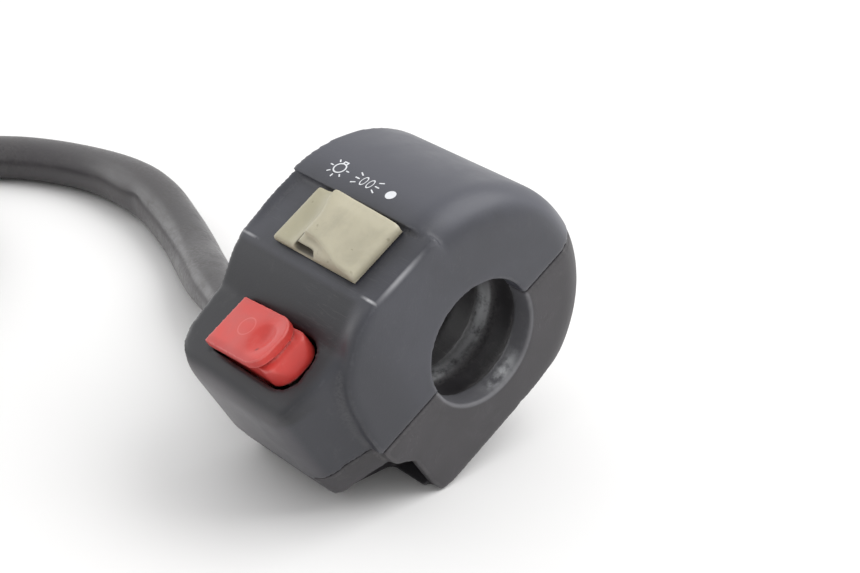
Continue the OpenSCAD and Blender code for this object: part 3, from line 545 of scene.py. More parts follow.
def switch_half_finish():
    made, tree, shader, place = finish_tree("switch_half_plastic")
    x, v, n = housing_axes(tree, place)
    grain = grained(place, 3200.0, 90.0)
    base = two_tone(grain, "shell", 0.86, 1.12)
    # Painted shade: the faces below the crease are darkened, more towards the nose.
    base = coat(base, shade("shell", 0.68), between(v, -11.0, -20.0), 0.8)
    # Painted highlight: the top of the hood is lightened, up to the flange.
    hood = between(v, 1.0, 8.0, 0.0, 0.8)
    base = coat(base, shade("shell", 1.7), hood, between(x, 17.2, 15.6))
    # Painted shade on the slope below the crease, fading out towards the flange.
    painted_slope_shade = times(between(v, CREASE_V - 0.3, CREASE_V - 1.5), between(n, 14.5, 16.0))
    base = coat(base, shade("shell", 0.1), painted_slope_shade, between(x, 14.5, 12.0, 0.0, 0.6))
    # Painted reflection: the front face of the nose is made paler, as if mirroring the pale floor.
    painted_floor_reflection = between(v, 2.4 - NOSE_REACH, 0.2 - NOSE_REACH, 0.0, 0.6)
    base = coat(base, tone(124, 121, 124), painted_floor_reflection, between(x, 6.0, -9.0, 0.4, 1.0))
    # Painted shade inside the bore, darkest in its grooves.
    bore = times(between(bar_reach(v, n), 12.5, 11.9),
                 between(x, PLATE_X + 0.6, PLATE_X - 0.6))
    base = coat(base, shade("shell", 0.3), bore, groove_shade(x))
    dust = dusty(place, 240.0, 0.34)
    base = coat(base, colour("dust"), dust, 0.08)
    base = coat(base, tone(150, 150, 154), worn(place, 500.0, 0.85), 0.12)
    scuff = scuffed(place, 46.0, 0.5)
    base = coat(base, tone(150, 150, 150), scuff, 0.14)
    ends = sums("MAXIMUM", band(x, 15.6, 2.4), times(band(x, -15.4, 3.4), 0.6))
    ridge = times(band(v, CREASE_V + 0.1, 0.4), band(n, RECESS_N - 0.15, 0.7), ends)
    scrapes_and_painted_highlight = times(ridge, between(noise(place, 900.0), 0.28, 0.5),
                   between(sums("ABSOLUTE", x), 4.0, 9.0))
    # Painted highlight along the border of the recess and the flange, laid on together with the pale scrapes at the
    # ends of the crease.
    painted_border_highlight = times(band(x, BORDER_X, 0.5), band(v, -6.4, 7.0), band(n, RECESS_N - 0.3, 0.8))
    scrapes_and_painted_highlight = sums("MAXIMUM", scrapes_and_painted_highlight, times(painted_border_highlight, 0.5))
    base = coat(base, tone(205, 205, 208), scrapes_and_painted_highlight, 0.9)
    dull = times(sums("ADD", dust, scuff), 0.2)
    wire_up(shader, base, sums("ADD", toned(grain, 0.36, 0.46), dull), grain["Height"], 0.22)
    return made


def clamp_half_finish():
    made, tree, shader, place = finish_tree("clamp_half_plastic")
    x, v, n = housing_axes(tree, place)
    grain = grained(place, 3000.0, 120.0)
    base = two_tone(grain, "clamp", 0.84, 1.14)
    stain = between(noise(place, 210.0, 5.0, 0.7, 0.8), 0.56, 0.7)
    base = coat(base, shade("clamp", 0.4), stain, 0.2)
    reach = bar_reach(v, n)
    # Painted shade inside the bore, darkest in its grooves.
    bore = times(between(reach, 12.6, 12.0), between(x, PLATE_X + 1.6, PLATE_X + 0.4))
    base = coat(base, shade("clamp", 0.3), bore, groove_shade(x))
    # Painted light on the lip of the bore, where light comes in.
    inner = between(reach, 12.0, 11.5)
    lip = times(inner, between(x, 12.6, 13.6))
    base = coat(base, tone(128, 129, 134), lip, 0.4)
    ridge = times(band(x, 5.5, 2.6), band(n, -7.0, 7.0))
    edge = times(band(x, 15.4, 2.2), band(v, 1.0, 6.0))
    chalk = between(noise(place, 260.0, 4.0, 0.65), 0.36, 0.6)
    chalk = times(chalk, inner, sums("MAXIMUM", ridge, edge))
    dust = dusty(place, 200.0, 0.36)
    base = coat(base, colour("dust"), dust, 0.12)
    base = coat(base, tone(214, 216, 218), chalk, 0.8)
    base = coat(base, tone(150, 147, 146), worn(place, 480.0, 0.85), 0.12)
    base = coat(base, tone(150, 148, 146), scuffed(place, 52.0, 0.6), 0.25)
    dull = times(sums("ADD", dust, chalk), 0.25)
    wire_up(shader, base, sums("ADD", toned(grain, 0.42, 0.54), dull), grain["Height"], 0.26)
    return made


def knob_finish():
    made, tree, shader, place = finish_tree("light_knob_plastic")
    x, v, n = housing_axes(tree, place)
    grain = grained(place, 2600.0, 170.0)
    base = two_tone(grain, "knob", 0.88, 1.06)
    # Darker towards the left end and on the front face.
    base = coat(base, tone(158, 153, 124), between(x, 1.0, -6.0), 0.5)
    base = coat(base, tone(150, 141, 120), between(v, -10.0, -10.8), 0.6)
    # Painted shade: the right end face, the foot along the recess floor and the hollows are darkened.
    base = coat(base, tone(132, 124, 102), between(x, 11.2, 12.0), 0.6)
    base = coat(base, tone(108, 100, 80), between(n, RECESS_N + 1.3, RECESS_N + 0.2), 0.6)
    base = coat(base, tone(110, 104, 84), between(attribute(tree, "hollow"), 0.1, 0.8), 0.55)
    # Painted shade in the pocket.
    pocket = times(between(x, -3.9, -3.3), between(x, 1.5, 1.0),
                   between(v, -10.75, -10.3), between(v, -7.6, -8.1))
    base = coat(base, tone(84, 78, 66), pocket, between(n, RECESS_N + 2.4, RECESS_N + 2.0))
    spot = between(noise(place, 620.0, 3.0, 0.6, 0.4), 0.66, 0.74)
    base = coat(base, tone(120, 112, 90), spot, 0.4)
    base = coat(base, tone(214, 208, 188), worn(place, 700.0, 0.45), 0.35)
    scuff = scuffed(place, 120.0, 0.5)
    base = coat(base, tone(225, 222, 205), scuff, 0.2)
    rough = sums("ADD", toned(grain, 0.38, 0.52), times(scuff, 0.2))
    wire_up(shader, base, rough, grain["Height"], 0.15, subsurface_weight=0.06,
            subsurface_radius=(0.0008, 0.0007, 0.0004))
    return made


def rocker_finish():
    made, tree, shader, place = finish_tree("stop_rocker_plastic")
    x, v, n = housing_axes(tree, place)
    grain = grained(place, 2800.0, 150.0)
    base = two_tone(grain, "rocker", 0.9, 1.05)
    # Painted highlight on the top of the rocker; painted shade on its front side and in its hollows.
    base = coat(base, tone(216, 88, 80), between(n, 19.5, 21.5), 0.2)
    base = coat(base, tone(176, 44, 42), between(v, KILL_V - 3.4, KILL_V - 4.6), 0.55)
    base = coat(base, tone(140, 40, 40), between(attribute(tree, "hollow"), 0.15, 0.9), 0.6)
    base = coat(base, tone(236, 150, 146), worn(place, 800.0, 0.5), 0.25)
    dust = dusty(place, 330.0, 0.36)
    base = coat(base, tone(206, 140, 134), dust, 0.25)
    nick = times(band(x, 2.6, 0.6), band(v, KILL_V - 2.3, 0.6))
    base = coat(base, tone(104, 40, 40), nick, 0.8)
    flat = add(tree, "ShaderNodeCombineXYZ", {0: x, 1: v}).outputs[0]
    turn = add(tree, "ShaderNodeVectorMath", {0: flat, 1: (KILL_X - 3.0, KILL_V + 0.2, 0.0)},
               operation="DISTANCE").outputs["Value"]
    ring = times(band(turn, 1.7, 0.2), between(n, 20.4, 20.8))
    base = coat(base, tone(232, 140, 132), ring, 0.3)
    rough = sums("ADD", toned(grain, 0.4, 0.52), times(dust, 0.25))
    wire_up(shader, base, rough, grain["Height"], 0.14, subsurface_weight=0.08,
            subsurface_radius=(0.0012, 0.0004, 0.0003))
    return made


def sleeve_finish():
    """Vinyl sleeving on its own map: u along the sleeve and v round it."""
    made, tree, shader, place = finish_tree("sleeve_vinyl")
    along = add(tree, "ShaderNodeUVMap", uv_map="sleeve").outputs[0]
    grain = grained(place, 1500.0, 60.0)
    drawn = add(tree, "ShaderNodeMapping", {"Vector": along, "Scale": (0.4, 9.0, 1.0)}).outputs[0]
    lines = noise(drawn, 5.0, 4.0, 0.6)
    base = two_tone(grain, "sleeve", 0.82, 1.14)
    base = coat(base, tone(70, 67, 69), between(lines, 0.5, 0.72), 0.2)
    dust = dusty(place, 150.0, 0.4)
    base = coat(base, tone(150, 146, 142), dust, 0.1)
    broken = between(noise(place, 300.0, 5.0, 0.7), 0.3, 0.6)
    base = coat(base, tone(156, 154, 148), attribute(tree, "rim"), broken, 0.75)
    base = coat(base, tone(140, 138, 136), scuffed(place, 30.0, 0.5), 0.2)
    rough = sums("ADD", toned(grain, 0.34, 0.46), times(dust, 0.3))
    wire_up(shader, base, rough, sums("ADD", grain["Height"], lines), 0.2, 0.0001, coat_weight=0.35,
            coat_roughness=0.25)
    return made


def metal_finish(name, tint, dark, rough_low, rough_high, scale):
    """Drawn or plated metal with fine lines, stains and dull patches."""
    made, tree, shader, place = finish_tree(name)
    grain = grained(place, scale, scale / 14)
    drawn = add(tree, "ShaderNodeMapping", {"Vector": place, "Scale": (1.0, 14.0, 5.0)}).outputs[0]
    lines = noise(drawn, scale * 0.6)
    base = blend(between(grain["Tone"], 0.35, 0.7), tint, dark)
    mixed = sums("ADD", times(lines, 0.5), times(grain["Tone"], 0.5))
    rough = between(mixed, TONE_LOW, TONE_HIGH, rough_low, rough_high)
    wire_up(shader, base, rough, lines, 0.12, 0.00003, metallic=1.0)
    return made


def moulding_finish(name, light, dark, rough_low, rough_high, scale, strength=0.2):
    """Plain moulded stuff: two tones, grain and a little dust."""
    made, tree, shader, place = finish_tree(name)
    grain = grained(place, scale, scale / 12)
    base = blend(toned(grain), light, dark)
    dust = use(tree, "Dust", vector=place, scale=scale / 8, amount=0.3)["Mask"]
    base = coat(base, colour("dust"), dust, 0.15)
    wire_up(shader, base, toned(grain, rough_low, rough_high), grain["Height"], strength)
    return made


def ink_finish():
    made, tree, shader, place = finish_tree("print_ink")
    grain = grained(place, 3000.0, 500.0)
    base = two_tone(grain, "ink", 0.9, 1.0)
    thin = between(noise(place, 1900.0, 4.0, 0.7), 0.6, 0.74)
    base = coat(base, tone(120, 121, 126), thin, 0.5)
    wire_up(shader, base, toned(grain, 0.45, 0.6), grain["Height"], 0.1)
    return made


# Route of the harness, in millimetres: the same points and the same coil as the solids have
EXIT = lying(0, -18.5, -7) / MM
LAY_Z = -20.25
ROUTE = [(-8.9, EXIT.y, EXIT.z), (-22.3, EXIT.y, EXIT.z), (-33, -11.2, -15.4), (-43, -8.6, -16.1),
         (-54, -4.2, -17.6), (-64, 0.6, -19.3), (-75, 5.3, LAY_Z), (-87, 9.4, LAY_Z), (-97, 12.1, LAY_Z),
         (-107.5, 13.1, LAY_Z), (-118, 11.9, LAY_Z), (-128, 8.5, LAY_Z), (-137, 3.2, LAY_Z), (-146, -4.4, LAY_Z),
         (-154.5, -11.7, LAY_Z), (-163, -18.9, LAY_Z)]
COIL_R, COIL_PITCH, COIL_TURNS = 53.0, 10.7, 1.2
COIL_DRIFT, COIL_DRIFT_TURN = 5.0, 0.16
ROUTE_STEPS, COIL_STEPS = 6, 120
SLEEVE_SIDES = 32
# Marks on the free stretch of the sleeve, by their place along x
CRUSH_X, PINCH_X, BEND_X, BULGE_X = -33, -99, -104, -107
SQUARENESS = 0.92


def harness_route():
    """Centre points of the sleeve from inside the grommet to its taped end, in millimetres."""
    corners = [Vector(point) for point in ROUTE]
    padded = [2 * corners[0] - corners[1]] + corners + [2 * corners[-1] - corners[-2]]
    points = []
    for i in range(len(corners) - 1):
        a, b, c, d = padded[i:i + 4]
        for k in range(ROUTE_STEPS):
            t = k / ROUTE_STEPS
            points.append(0.5 * (2 * b + (c - a) * t + (2 * a - 5 * b + 4 * c - d) * t * t
                                 + (3 * b - a - 3 * c + d) * t ** 3))
    run = sizes().sleeve_d / MM
    ahead = (corners[-1] - corners[-2]).normalized()
    left = Vector((-ahead.y, ahead.x, 0))
    centre = corners[-1] + run * ahead + COIL_R * left
    start = atan2(-left.y, -left.x)
    stop = start + 2 * pi * COIL_TURNS

    def coil(a):
        into = max(0, (a - stop) / (2 * pi) / COIL_DRIFT_TURN + 1)
        r = COIL_R - COIL_PITCH * (a - start) / (2 * pi) - COIL_DRIFT * into * into
        return centre + Vector((r * cos(a), r * sin(a), 0))

    points += [corners[-1], corners[-1] + run / 3 * ahead, corners[-1] + 2 * run / 3 * ahead]
    count = int(COIL_STEPS * COIL_TURNS)
    points += [coil(start + (stop - start) * i / count) for i in range(count + 1)]
    end_dir = (coil(stop) - coil(stop - radians(1))).normalized()
    points += [coil(stop) + run / 3 * k * end_dir for k in (1, 2, 3)]
    return points


def sweep(name, points, sides, outline):
    """A closed tube along points in metres; outline gives the side and up offsets of one ring."""
    verts, rings = [], len(points)
    for i, point in enumerate(points):
        ahead = (points[min(i + 1, rings - 1)] - points[max(i - 1, 0)]).normalized()
        side = ahead.cross(Vector((0, 0, 1))).normalized()
        up = side.cross(ahead)
        across, rise = outline(i)
        for a, u in zip(across, rise):
            verts.append(point + side * a + up * u)
    faces = [(i * sides + k, i * sides + (k + 1) % sides, (i + 1) * sides + (k + 1) % sides, (i + 1) * sides + k)
             for i in range(rings - 1) for k in range(sides)]
    faces += [tuple(range(sides))[::-1], tuple(range((rings - 1) * sides, rings * sides))]
    mesh = bpy.data.meshes.new(name)
    mesh.from_pydata([tuple(v) for v in verts], [], faces)
    return new_object(name, mesh)


class SWITCH_OT_stage(bpy.types.Operator):
    """Camera at the viewing angle, plain pale floor, soft studio light"""
    bl_idname = "switch.make_stage"
    bl_label = "Stage"

    def execute(self, context):
        scene = context.scene
        scene.view_settings.view_transform = "Standard"
        bpy.ops.object.select_all(action="DESELECT")
        bpy.ops.object.camera_add(location=CAMERA_AT,
                                  rotation=Vector(CAMERA_AIM).to_track_quat("-Z", "Y").to_euler())
        camera = context.object
        camera.name = "viewing_camera"
        camera.data.lens = CAMERA_LENS
        camera.data.sensor_width = CAMERA_SENSOR
        camera.data.clip_start = 0.01
        scene.camera = camera
        bpy.ops.mesh.primitive_plane_add(size=FLOOR_SIZE, location=(0, 0, FLOOR_Z - FLOOR_GAP))
        floor = context.object
        floor.name = "floor"
        bpy.ops.object.transform_apply(location=True, rotation=False, scale=False)
        floor.data.materials.append(self.floor_finish())
        for name, settings in LAMPS.items():
            self.lamp(name, *settings)
        self.world(scene)
        return {"FINISHED"}

    def floor_finish(self):
        made, tree, shader, place = finish_tree("floor_paint")
        mottle = between(noise(place, 9.0, 4.0), TONE_LOW, TONE_HIGH)
        base = blend(mottle, shade("floor", 0.985), colour("floor"))
        tree.links.new(base, shader.inputs["Base Color"])
        shader.inputs["Roughness"].default_value = 0.8
        shader.inputs["Specular IOR Level"].default_value = 0.1
        return made

    def lamp(self, name, place, aim, size, energy):
        bpy.ops.object.light_add(type="AREA", location=place,
                                 rotation=(Vector(aim) - Vector(place)).to_track_quat("-Z", "Y").to_euler())
        lamp = bpy.context.object
        lamp.name = name
        lamp.data.size = size
        lamp.data.energy = energy

    def world(self, scene):
        sky = bpy.data.worlds.new("studio")
        scene.world = sky
        sky.use_nodes = True
        tree = sky.node_tree
        tree.nodes.clear()
        path = tree.nodes.new("ShaderNodeLightPath").outputs
        seen = sums("MAXIMUM", path["Is Camera Ray"],
                    sums("MAXIMUM", path["Is Glossy Ray"], path["Is Transmission Ray"]))
        way = tree.nodes.new("ShaderNodeTexCoord").outputs["Generated"]
        toward = add(tree, "ShaderNodeVectorMath", {0: way, 1: SKY_WAY}, operation="DOT_PRODUCT").outputs["Value"]
        soft = between(toward, -1.0, 1.0, SKY_LOW, SKY_HIGH)
        level = sums("ADD", seen, times(soft, sums("SUBTRACT", 1.0, seen)))
        light = add(tree, "ShaderNodeBackground", {"Color": (1, 1, 1, 1), "Strength": level})
        output = tree.nodes.new("ShaderNodeOutputWorld")
        tree.links.new(light.outputs[0], output.inputs["Surface"])


class SWITCH_OT_harness(bpy.types.Operator):
    """Harness sleeve with its flattened free stretch and its coil, its tie, tape, wires and connector"""
    bl_idname = "switch.make_harness"
    bl_label = "Harness"

    def execute(self, context):
        pieces = [self.tie(), self.tape(), self.wires(), self.connector(),
                  bpy.data.objects["connector_terminals"]]
        sleeve, path, length = self.sleeve()
        return {"FINISHED"}

    def sleeve(self):
        route = harness_route()
        turn = np.arange(SLEEVE_SIDES) * 2 * pi / SLEEVE_SIDES
        round_r = sizes().sleeve_d / 2
        x = np.array([point.x for point in route])
        free = np.zeros(len(route))
        last_free = (len(ROUTE) - 2) * ROUTE_STEPS
        free[:last_free] = step(x[:last_free], -25, -36) * step(x[:last_free], -156, -142)
        loose = free > 0
        narrow = 1 - 0.25 * step(x, -25, -30) * step(x, -64, -42) * loose
        wide = (round_r + (sizes().sleeve_flat - round_r) * free) * narrow
        high = (round_r + (sizes().sleeve_low - round_r) * free) * narrow
        bend = hill(x, BEND_X, 15) * loose
        wide = wide + 0.0006 * bend
        high = high + 0.0005 * bend
        rest = FLOOR_Z + high - np.array([point.z for point in route]) * MM
        drop = np.where(loose, rest * step(x, -60, -78) * free, 0)
        aside = 0.0014 * step(x, -60, -82) * step(x, -152, -136) * loose
        points = [point * MM + Vector((-0.745 * away, 0.667 * away, down))
                  for point, away, down in zip(route, aside, drop)]
        crush = hill(x, CRUSH_X, 5.5) * loose
        dent = step(x, -72, -46) * step(x, -26, -32) * loose
        pinch = hill(x, PINCH_X, 2.6) * loose
        bulge = hill(x, BULGE_X, 5) * loose

        def near(angle, width):
            """One at an angle round the sleeve, less on both sides of it."""
            return hill((turn - angle + pi) % (2 * pi) - pi, 0, width)

        groove, front, lower, side = near(pi + 0.62, 0.16), near(pi, 0.55), near(pi + 1.0, 0.3), near(pi + 0.35, 0.3)

        def outline(i):
            across, rise = np.cos(turn), np.sin(turn)
            across = np.sign(across) * np.abs(across) ** SQUARENESS
            rise = np.sign(rise) * np.abs(rise) ** SQUARENESS
            scale = 1 - 0.15 * dent[i] * groove - 0.1 * crush[i] * side + 0.04 * dent[i] * lower
            scale = scale - 0.12 * pinch[i] * front + 0.05 * bulge[i] * front
            return across * wide[i] * scale, rise * high[i] * scale

        made = sweep("harness_sleeve_tube", points, SLEEVE_SIDES, outline)
        self.map_sleeve(made, points, SLEEVE_SIDES)
        rim = made.data.attributes.new("rim", "FLOAT", "POINT")
        values = np.outer(dent, near(pi + 1.0, 0.34))
        rim.data.foreach_set("value", values.astype(np.float32).ravel())
        relax(made, 2)
        mark_edges(made, 1, 8.0)
        made.data.materials.append(sleeve_finish())
        settle(made, "housing", "sleeving", "harness_sleeve", "harness_coil")
        length = sum((b - a).length for a, b in zip(points, points[1:]))
        return made, [tuple(point) for point in points], length

    def map_sleeve(self, made, points, sides):
        """A map of its own: u along the sleeve in units of 10 mm, v round it."""
        along = np.cumsum([0] + [(b - a).length for a, b in zip(points, points[1:])]) * 100
        layer = made.data.uv_layers.new(name="sleeve")
        for face in made.data.polygons:
            first = made.data.loops[face.loop_start].vertex_index % sides
            for loop in face.loop_indices:
                ring, k = divmod(made.data.loops[loop].vertex_index, sides)
                if k == 0 and first == sides - 1:
                    k = sides
                layer.data[loop].uv = (along[ring], k / sides)

    def tie(self):
        made = node_copy("coil_tie", "coil_tie_strap")
        bevel(made, 0.00015)
        low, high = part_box("coil_tie")
        middle = (low + high) / 2
        open_mesh(made, "DESELECT")
        bpy.ops.mesh.primitive_cube_add(size=0.0045, location=(middle.x, middle.y, high.z + 0.0009))
        bpy.ops.transform.resize(value=(1.0, 1.25, 0.5))
        bpy.ops.mesh.bevel(offset=0.0005, segments=2, affect="EDGES")
        bpy.ops.object.mode_set(mode="OBJECT")
        nylon = moulding_finish("tie_nylon", tone(38, 38, 39), tone(24, 24, 25), 0.4, 0.55, 1600.0)
        return dress(made, nylon, "nylon", "coil_tie")

    def tape(self):
        made = node_copy("tape_wrap", "tape_wrap_turns")
        bevel(made, 0.00012)
        vinyl = moulding_finish("wrap_tape", tone(34, 34, 36), tone(22, 22, 23), 0.32, 0.5, 700.0, 0.35)
        return dress(made, vinyl, "tape", "tape_wrap")

    def wires(self):
        made = wire_copy("connector_wires", "connector_leads")
        settle(made, "housing", "leads", "connector_wires")
        return made

    def connector(self):
        made = node_copy("connector_housing", "connector_block")
        bevel(made, 0.0003)
        nylon = moulding_finish("connector_nylon", tone(212, 208, 190), tone(196, 190, 168), 0.4, 0.55, 900.0)
        return dress(made, nylon, "nylon", "connector_housing")


WIRE_TONES = [(40, 120, 60), (30, 30, 32), (196, 168, 40), (150, 40, 36), (150, 150, 148)]


def wire_copy(node, name):
    """Rounded wires from a node of several tubes, one insulation colour for each tube."""
    made = node_copy(node, name)
    open_mesh(made)
    bpy.ops.mesh.tris_convert_to_quads()
    bpy.ops.transform.shrink_fatten(value=0.00008)
    bpy.ops.object.mode_set(mode="OBJECT")
    modify(made, "SUBSURF", levels=1, render_levels=1)
    for paint in WIRE_TONES:
        label = "lead_vinyl_%d_%d_%d" % paint
        finish = bpy.data.materials.get(label) or moulding_finish(
            label, tone(*paint), tone(*(part * 0.8 for part in paint)), 0.35, 0.5, 1800.0)
        made.data.materials.append(finish)
    links = {}
    for edge in made.data.edges:
        a, b = edge.vertices
        links.setdefault(a, []).append(b)
        links.setdefault(b, []).append(a)
    part = {}
    for first in range(len(made.data.vertices)):
        if first in part:
            continue
        number = len(set(part.values()))
        heap = [first]
        part[first] = number
        while heap:
            for other in links.get(heap.pop(), ()):
                if other not in part:
                    part[other] = number
                    heap.append(other)
    for face in made.data.polygons:
        face.material_index = part[face.vertices[0]] % len(WIRE_TONES)
    return made


class SWITCH_OT_shells(bpy.types.Operator):
    """Switch half and clamp half of the housing, with their softened corners and worn edges"""
    bl_idname = "switch.make_shells"
    bl_label = "Housing shells"

    def execute(self, context):
        self.switch_half()
        self.clamp_half()
        return {"FINISHED"}

    def switch_half(self):
        made = node_copy("switch_housing", "switch_half_shell")
        modify(made, "REMESH", mode="VOXEL", voxel_size=sizes().shell_voxel)
        x, v, n = in_housing(points_of(made))
        slot = step(np.abs(v - KILL_V), 6.2, 5.4) * step(np.abs(x - KILL_X), 12.0, 11.0) * step(n, 11.5, 12.5)
        outside = (1 - slot) * self.off_bore(v, n)
        soft = step(v, -12.6, -14.0) * step(n, 2.0, 6.0) * outside * step(x, -16.8, -14.5)
        relax(made, sizes().nose_passes, soft)
        x, v, n = in_housing(points_of(made))
        outside = (1 - slot) * self.off_bore(v, n)
        medium = step(v, 1.0, 0.4) * step(n, 3.0, 6.0) * outside * step(x, -17.0, -15.0)
        relax(made, sizes().face_passes, medium)
        x, v, n = in_housing(points_of(made))
        raise_by = 0.8 * step(x, -15.0, -17.2) * step(v, -12.4, -3.0) * step(v, 1.6, 1.2) * step(n, 23.6, 24.4)
        move_points(made, placed(x, v, n + raise_by))
        relax(made, 4, (0.25 + 0.75 * step(n, 0.8, 2.0)) * (1 - 0.8 * slot))
        mark_edges(made, 3)
        made.data.materials.append(switch_half_finish())
        settle(made, "housing", "shell", "switch_housing")

    def off_bore(self, v, n):
        """Nothing on the wall of the bore, one beyond it."""
        return 1 - step(np.hypot(v, n), 14.2, 13.2)

    def clamp_half(self):
        made = node_copy("clamp_housing", "clamp_half_shell")
        modify(made, "REMESH", mode="VOXEL", voxel_size=sizes().shell_voxel)
        x, v, n = in_housing(points_of(made))
        relax(made, 24, step(n, -3.2, -4.6) * step(n, -8.0, -7.0) * step(v, -21, -24) * step(x, 5.0, 7.0))
        x, v, n = in_housing(points_of(made))
        relax(made, 6, 0.25 + 0.75 * step(n, -0.8, -2.0))
        mark_edges(made, 3)
        made.data.materials.append(clamp_half_finish())
        settle(made, "housing", "clamp_shell", "clamp_housing")


class SWITCH_OT_light_knob(bpy.types.Operator):
    """Beige slide knob of the light switch"""
    bl_idname = "switch.make_light_knob"
    bl_label = "Light slide knob"

    def execute(self, context):
        made = node_copy("light_slide_knob", "light_slide_knob_cap")
        modify(made, "REMESH", mode="VOXEL", voxel_size=sizes().knob_voxel)
        x, v, n = in_housing(points_of(made))
        tall = step(n, RECESS_N + 1.5, RECESS_N + 3.2)
        lean = 2.4 * (1 - step(x, 0, 10)) * tall * step(v, -5, -10.9)
        above = step(n, RECESS_N, RECESS_N + 0.6)
        skew = 2.0 * step(v, -5, 0.9) * step(x, -9, -6) * (1 - step(x, 1, 8)) * above
        sink = 0.5 * step(v, -2, 0.9) * tall
        move_points(made, placed(x - skew - 0.8 * step(x, 6, 12), v + lean, n - sink))
        relax(made, sizes().knob_passes, step(n, RECESS_N + 0.3, RECESS_N + 0.6))
        mark_edges(made, 4)
        made.data.materials.append(knob_finish())
        settle(made, "light_slider", "beige", "light_slide_knob")
        return {"FINISHED"}


class SWITCH_OT_stop_rocker(bpy.types.Operator):
    """Red engine-stop rocker with its thumb hollow"""
    bl_idname = "switch.make_stop_rocker"
    bl_label = "Engine-stop rocker"

    def execute(self, context):
        made = node_copy("kill_rocker", "stop_rocker_cap")
        modify(made, "REMESH", mode="VOXEL", voxel_size=sizes().rocker_voxel)
        along, _, rise = self.rocked(made)
        relax(made, sizes().skirt_passes, step(along, 5.0, 6.8) * step(rise, 6.25, 5.9))
        relax(made, 9)
        along, across, rise = self.rocked(made)
        scoop = 0.55 * np.exp(-((along - 3.2) / 2.1) ** 2 - (across / 2.8) ** 2) * step(rise, 6.6, 7.2)
        swell = 0.5 * step(along, 5.2, 7.0) * step(rise, 6.3, 5.6) * step(rise, 1.4, 2.4)
        wider = 0.6 * step(across, -0.5, -3.6) * step(rise, 6.15, 6.5)
        reach = np.hypot(along, across)
        x, v, n = in_housing(points_of(made))
        move_points(made, placed(x + swell * along / reach, v + swell * across / reach - wider, n - scoop))
        mark_edges(made, 4)
        made.data.materials.append(rocker_finish())
        settle(made, "rocker", "red", "kill_rocker")
        return {"FINISHED"}

    def rocked(self, made):
        """Points measured along, across and above the rocker from its pivot, in millimetres."""
        x, v, n = in_housing(points_of(made))
        along, above = x - KILL_X, n - KILL_N
        return (along * cos(REST_ROCK) - above * sin(REST_ROCK), v - KILL_V,
                along * sin(REST_ROCK) + above * cos(REST_ROCK))


class SWITCH_OT_symbols(bpy.types.Operator):
    """Printed lamp, side-light and dot symbols on the hood"""
    bl_idname = "switch.make_symbols"
    bl_label = "Printed symbols"

    def execute(self, context):
        shell = bpy.data.objects["switch_half_shell"]
        lift = 5.4 / HOOD_R
        self.lay_print("lamp_symbol", -9.15, lift + 0.2 / HOOD_R, self.lamp, shell)
        self.lay_print("side_light_symbol", -1.9, lift, self.side_lights, shell)
        self.lay_print("off_symbol", 4.1, lift - 0.15 / HOOD_R, self.dot, shell)
        return {"FINISHED"}

    def lay_print(self, name, x, lift, draw, shell):
        """Draws flat lines, lays them on the hood and gives them the thickness of ink."""
        made = new_object(name, bpy.data.meshes.new(name))
        open_mesh(made)
        draw()
        bpy.ops.mesh.select_all(action="SELECT")
        bpy.ops.mesh.subdivide(number_cuts=1)
        bpy.ops.object.mode_set(mode="OBJECT")
        made.rotation_euler = (ROLL - lift, 0, 0)
        made.location = lying(x, (HOOD_R + 0.3) * sin(lift), (HOOD_R + 0.3) * cos(lift))
        pick(made)
        bpy.ops.object.transform_apply(location=True, rotation=True, scale=True)
        modify(made, "SHRINKWRAP", target=shell, wrap_method="NEAREST_SURFACEPOINT", wrap_mode="ABOVE_SURFACE",
               offset=0.00004)
        modify(made, "SOLIDIFY", thickness=0.00006, offset=-1.0)
        made.data.materials.append(bpy.data.materials.get("print_ink") or ink_finish())
        settle(made, "housing", "shell", smooth=False)

    def bar(self, x, y, length, angle):
        """One straight line centred at a point, its angle measured from x."""
        bpy.ops.mesh.select_all(action="DESELECT")
        bpy.ops.mesh.primitive_plane_add(size=1)
        bpy.ops.transform.resize(value=(length * MM, sizes().stroke, 1))
        bpy.ops.transform.rotate(value=-angle, orient_axis="Z", center_override=(0, 0, 0))
        bpy.ops.transform.translate(value=(x * MM, y * MM, 0))

    def ring(self, x, y, radius, squeeze=1.0):
        """A round or oval line about a point."""
        bpy.ops.mesh.select_all(action="DESELECT")
        bpy.ops.mesh.primitive_circle_add(vertices=28, radius=radius * MM + sizes().stroke / 2)
        bpy.ops.mesh.extrude_edges_move()
        inner = (radius * MM - sizes().stroke / 2) / (radius * MM + sizes().stroke / 2)
        bpy.ops.transform.resize(value=(inner, inner, 1), center_override=(0, 0, 0))
        bpy.ops.mesh.select_linked()
        bpy.ops.transform.resize(value=(squeeze, 1, 1), center_override=(0, 0, 0))
        bpy.ops.transform.translate(value=(x * MM, y * MM, 0))

    def lamp(self):
        self.ring(0, 0, 1.15)
        for turn in (0, 135, 180, 225, 270, 315):
            a = radians(turn)
            self.bar(2.0 * cos(a), 2.0 * sin(a), 0.7, a)
        self.bar(-0.42, 1.3, 0.75, radians(90))
        self.bar(0.42, 1.3, 0.75, radians(90))
        self.bar(0, 1.68, 1.1, 0)

    def side_lights(self):
        for side in (-1, 1):
            self.ring(side * 0.8, 0, 0.98, 0.52)
            for rise in (-1, 0, 1):
                self.bar(side * 2.45, rise * 1.15, 1.0, radians(side * rise * 28))

    def dot(self):
        bpy.ops.mesh.select_all(action="DESELECT")
        bpy.ops.mesh.primitive_circle_add(vertices=28, radius=0.98 * MM, fill_type="TRIFAN")


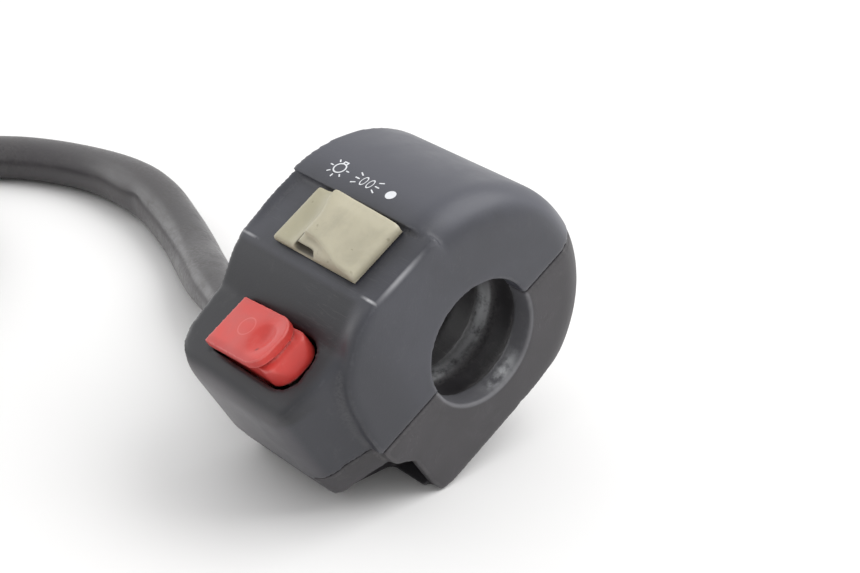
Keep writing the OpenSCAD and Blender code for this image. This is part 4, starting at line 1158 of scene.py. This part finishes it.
class SWITCH_OT_hardware(bpy.types.Operator):
    """Grommet, clamp screws, springs and leads, and finishes for the inner parts"""
    bl_idname = "switch.make_hardware"
    bl_label = "Hardware and inner parts"

    def execute(self, context):
        finishes = {
            "brass": metal_finish("contact_brass", tone(206, 172, 96), tone(150, 116, 60), 0.25, 0.45, 1500.0),
            "steel": metal_finish("plated_steel", tone(186, 186, 190), tone(140, 140, 144), 0.22, 0.42, 1500.0),
            "phenolic": moulding_finish("phenolic_board", tone(122, 78, 46), tone(92, 56, 32), 0.45, 0.6, 1300.0),
            "carrier": moulding_finish("carrier_nylon", tone(222, 218, 206), tone(204, 198, 180), 0.38, 0.5, 1500.0),
            "rubber": moulding_finish("grommet_rubber", tone(40, 39, 39), tone(26, 26, 26), 0.5, 0.68, 900.0, 0.35),
        }
        kept = {"carrier": ("light_carriage", "kill_plunger"),
                "phenolic": ("light_base", "kill_base"),
                "brass": ("light_moving_contact", "light_contacts", "kill_contact_plate", "kill_contacts",
                          "threaded_inserts", "connector_terminals"),
                "steel": ("light_detent_ball", "light_base_screws", "kill_pivot_pins", "kill_base_screws",
                          "cable_clip", "cable_clip_screw")}
        for finish, nodes in kept.items():
            for node in nodes:
                materials = bpy.data.objects[node].data.materials
                materials.clear()
                materials.append(finishes[finish])
        for node, name, slot, width in (("cable_grommet", "cable_grommet_boot", "rubber", 0.0003),
                                        ("clamp_screws", "clamp_screw_pair", "steel", 0.00012)):
            made = node_copy(node, name)
            bevel(made, width)
            dress(made, finishes[slot], slot, node)
        for node, name, body in (("light_detent_spring", "light_detent_coil", "light_slider"),
                                 ("kill_plunger_spring", "stop_plunger_coil", "rocker")):
            made = node_copy(node, name)
            modify(made, "SUBSURF", levels=1, render_levels=1)
            made.data.materials.append(finishes["steel"])
            settle(made, body, "steel", node)
        leads = wire_copy("switch_leads", "switch_lead_wires")
        settle(leads, "housing", "leads", "switch_leads")
        return {"FINISHED"}


class SWITCH_PT_panel(bpy.types.Panel):
    bl_idname = "SWITCH_PT_panel"
    bl_label = "Handlebar switch"
    bl_space_type = "VIEW_3D"
    bl_region_type = "UI"
    bl_category = "Switch"

    def draw(self, context):
        for values in (context.scene.switch_sizes, context.scene.switch_colours):
            column = self.layout.column(align=True)
            for key in values.__annotations__:
                column.prop(values, key)
        column = self.layout.column(align=True)
        for operator in OPERATORS:
            column.operator(operator.bl_idname)


OPERATORS = (SWITCH_OT_stage, SWITCH_OT_harness, SWITCH_OT_shells, SWITCH_OT_light_knob, SWITCH_OT_stop_rocker,
             SWITCH_OT_symbols, SWITCH_OT_hardware)
CLASSES = (SwitchSizes, SwitchColours) + OPERATORS + (SWITCH_PT_panel,)


def register():
    for item in CLASSES:
        bpy.utils.register_class(item)
    bpy.types.Scene.switch_sizes = PointerProperty(type=SwitchSizes)
    bpy.types.Scene.switch_colours = PointerProperty(type=SwitchColours)


def unregister():
    del bpy.types.Scene.switch_colours
    del bpy.types.Scene.switch_sizes
    for item in reversed(CLASSES):
        bpy.utils.unregister_class(item)


def main():
    register()
    bpy.ops.switch.make_stage()
    bpy.ops.switch.make_harness()
    bpy.ops.switch.make_shells()
    bpy.ops.switch.make_light_knob()
    bpy.ops.switch.make_stop_rocker()
    bpy.ops.switch.make_symbols()
    bpy.ops.switch.make_hardware()


if __name__ == "__main__":
    main()
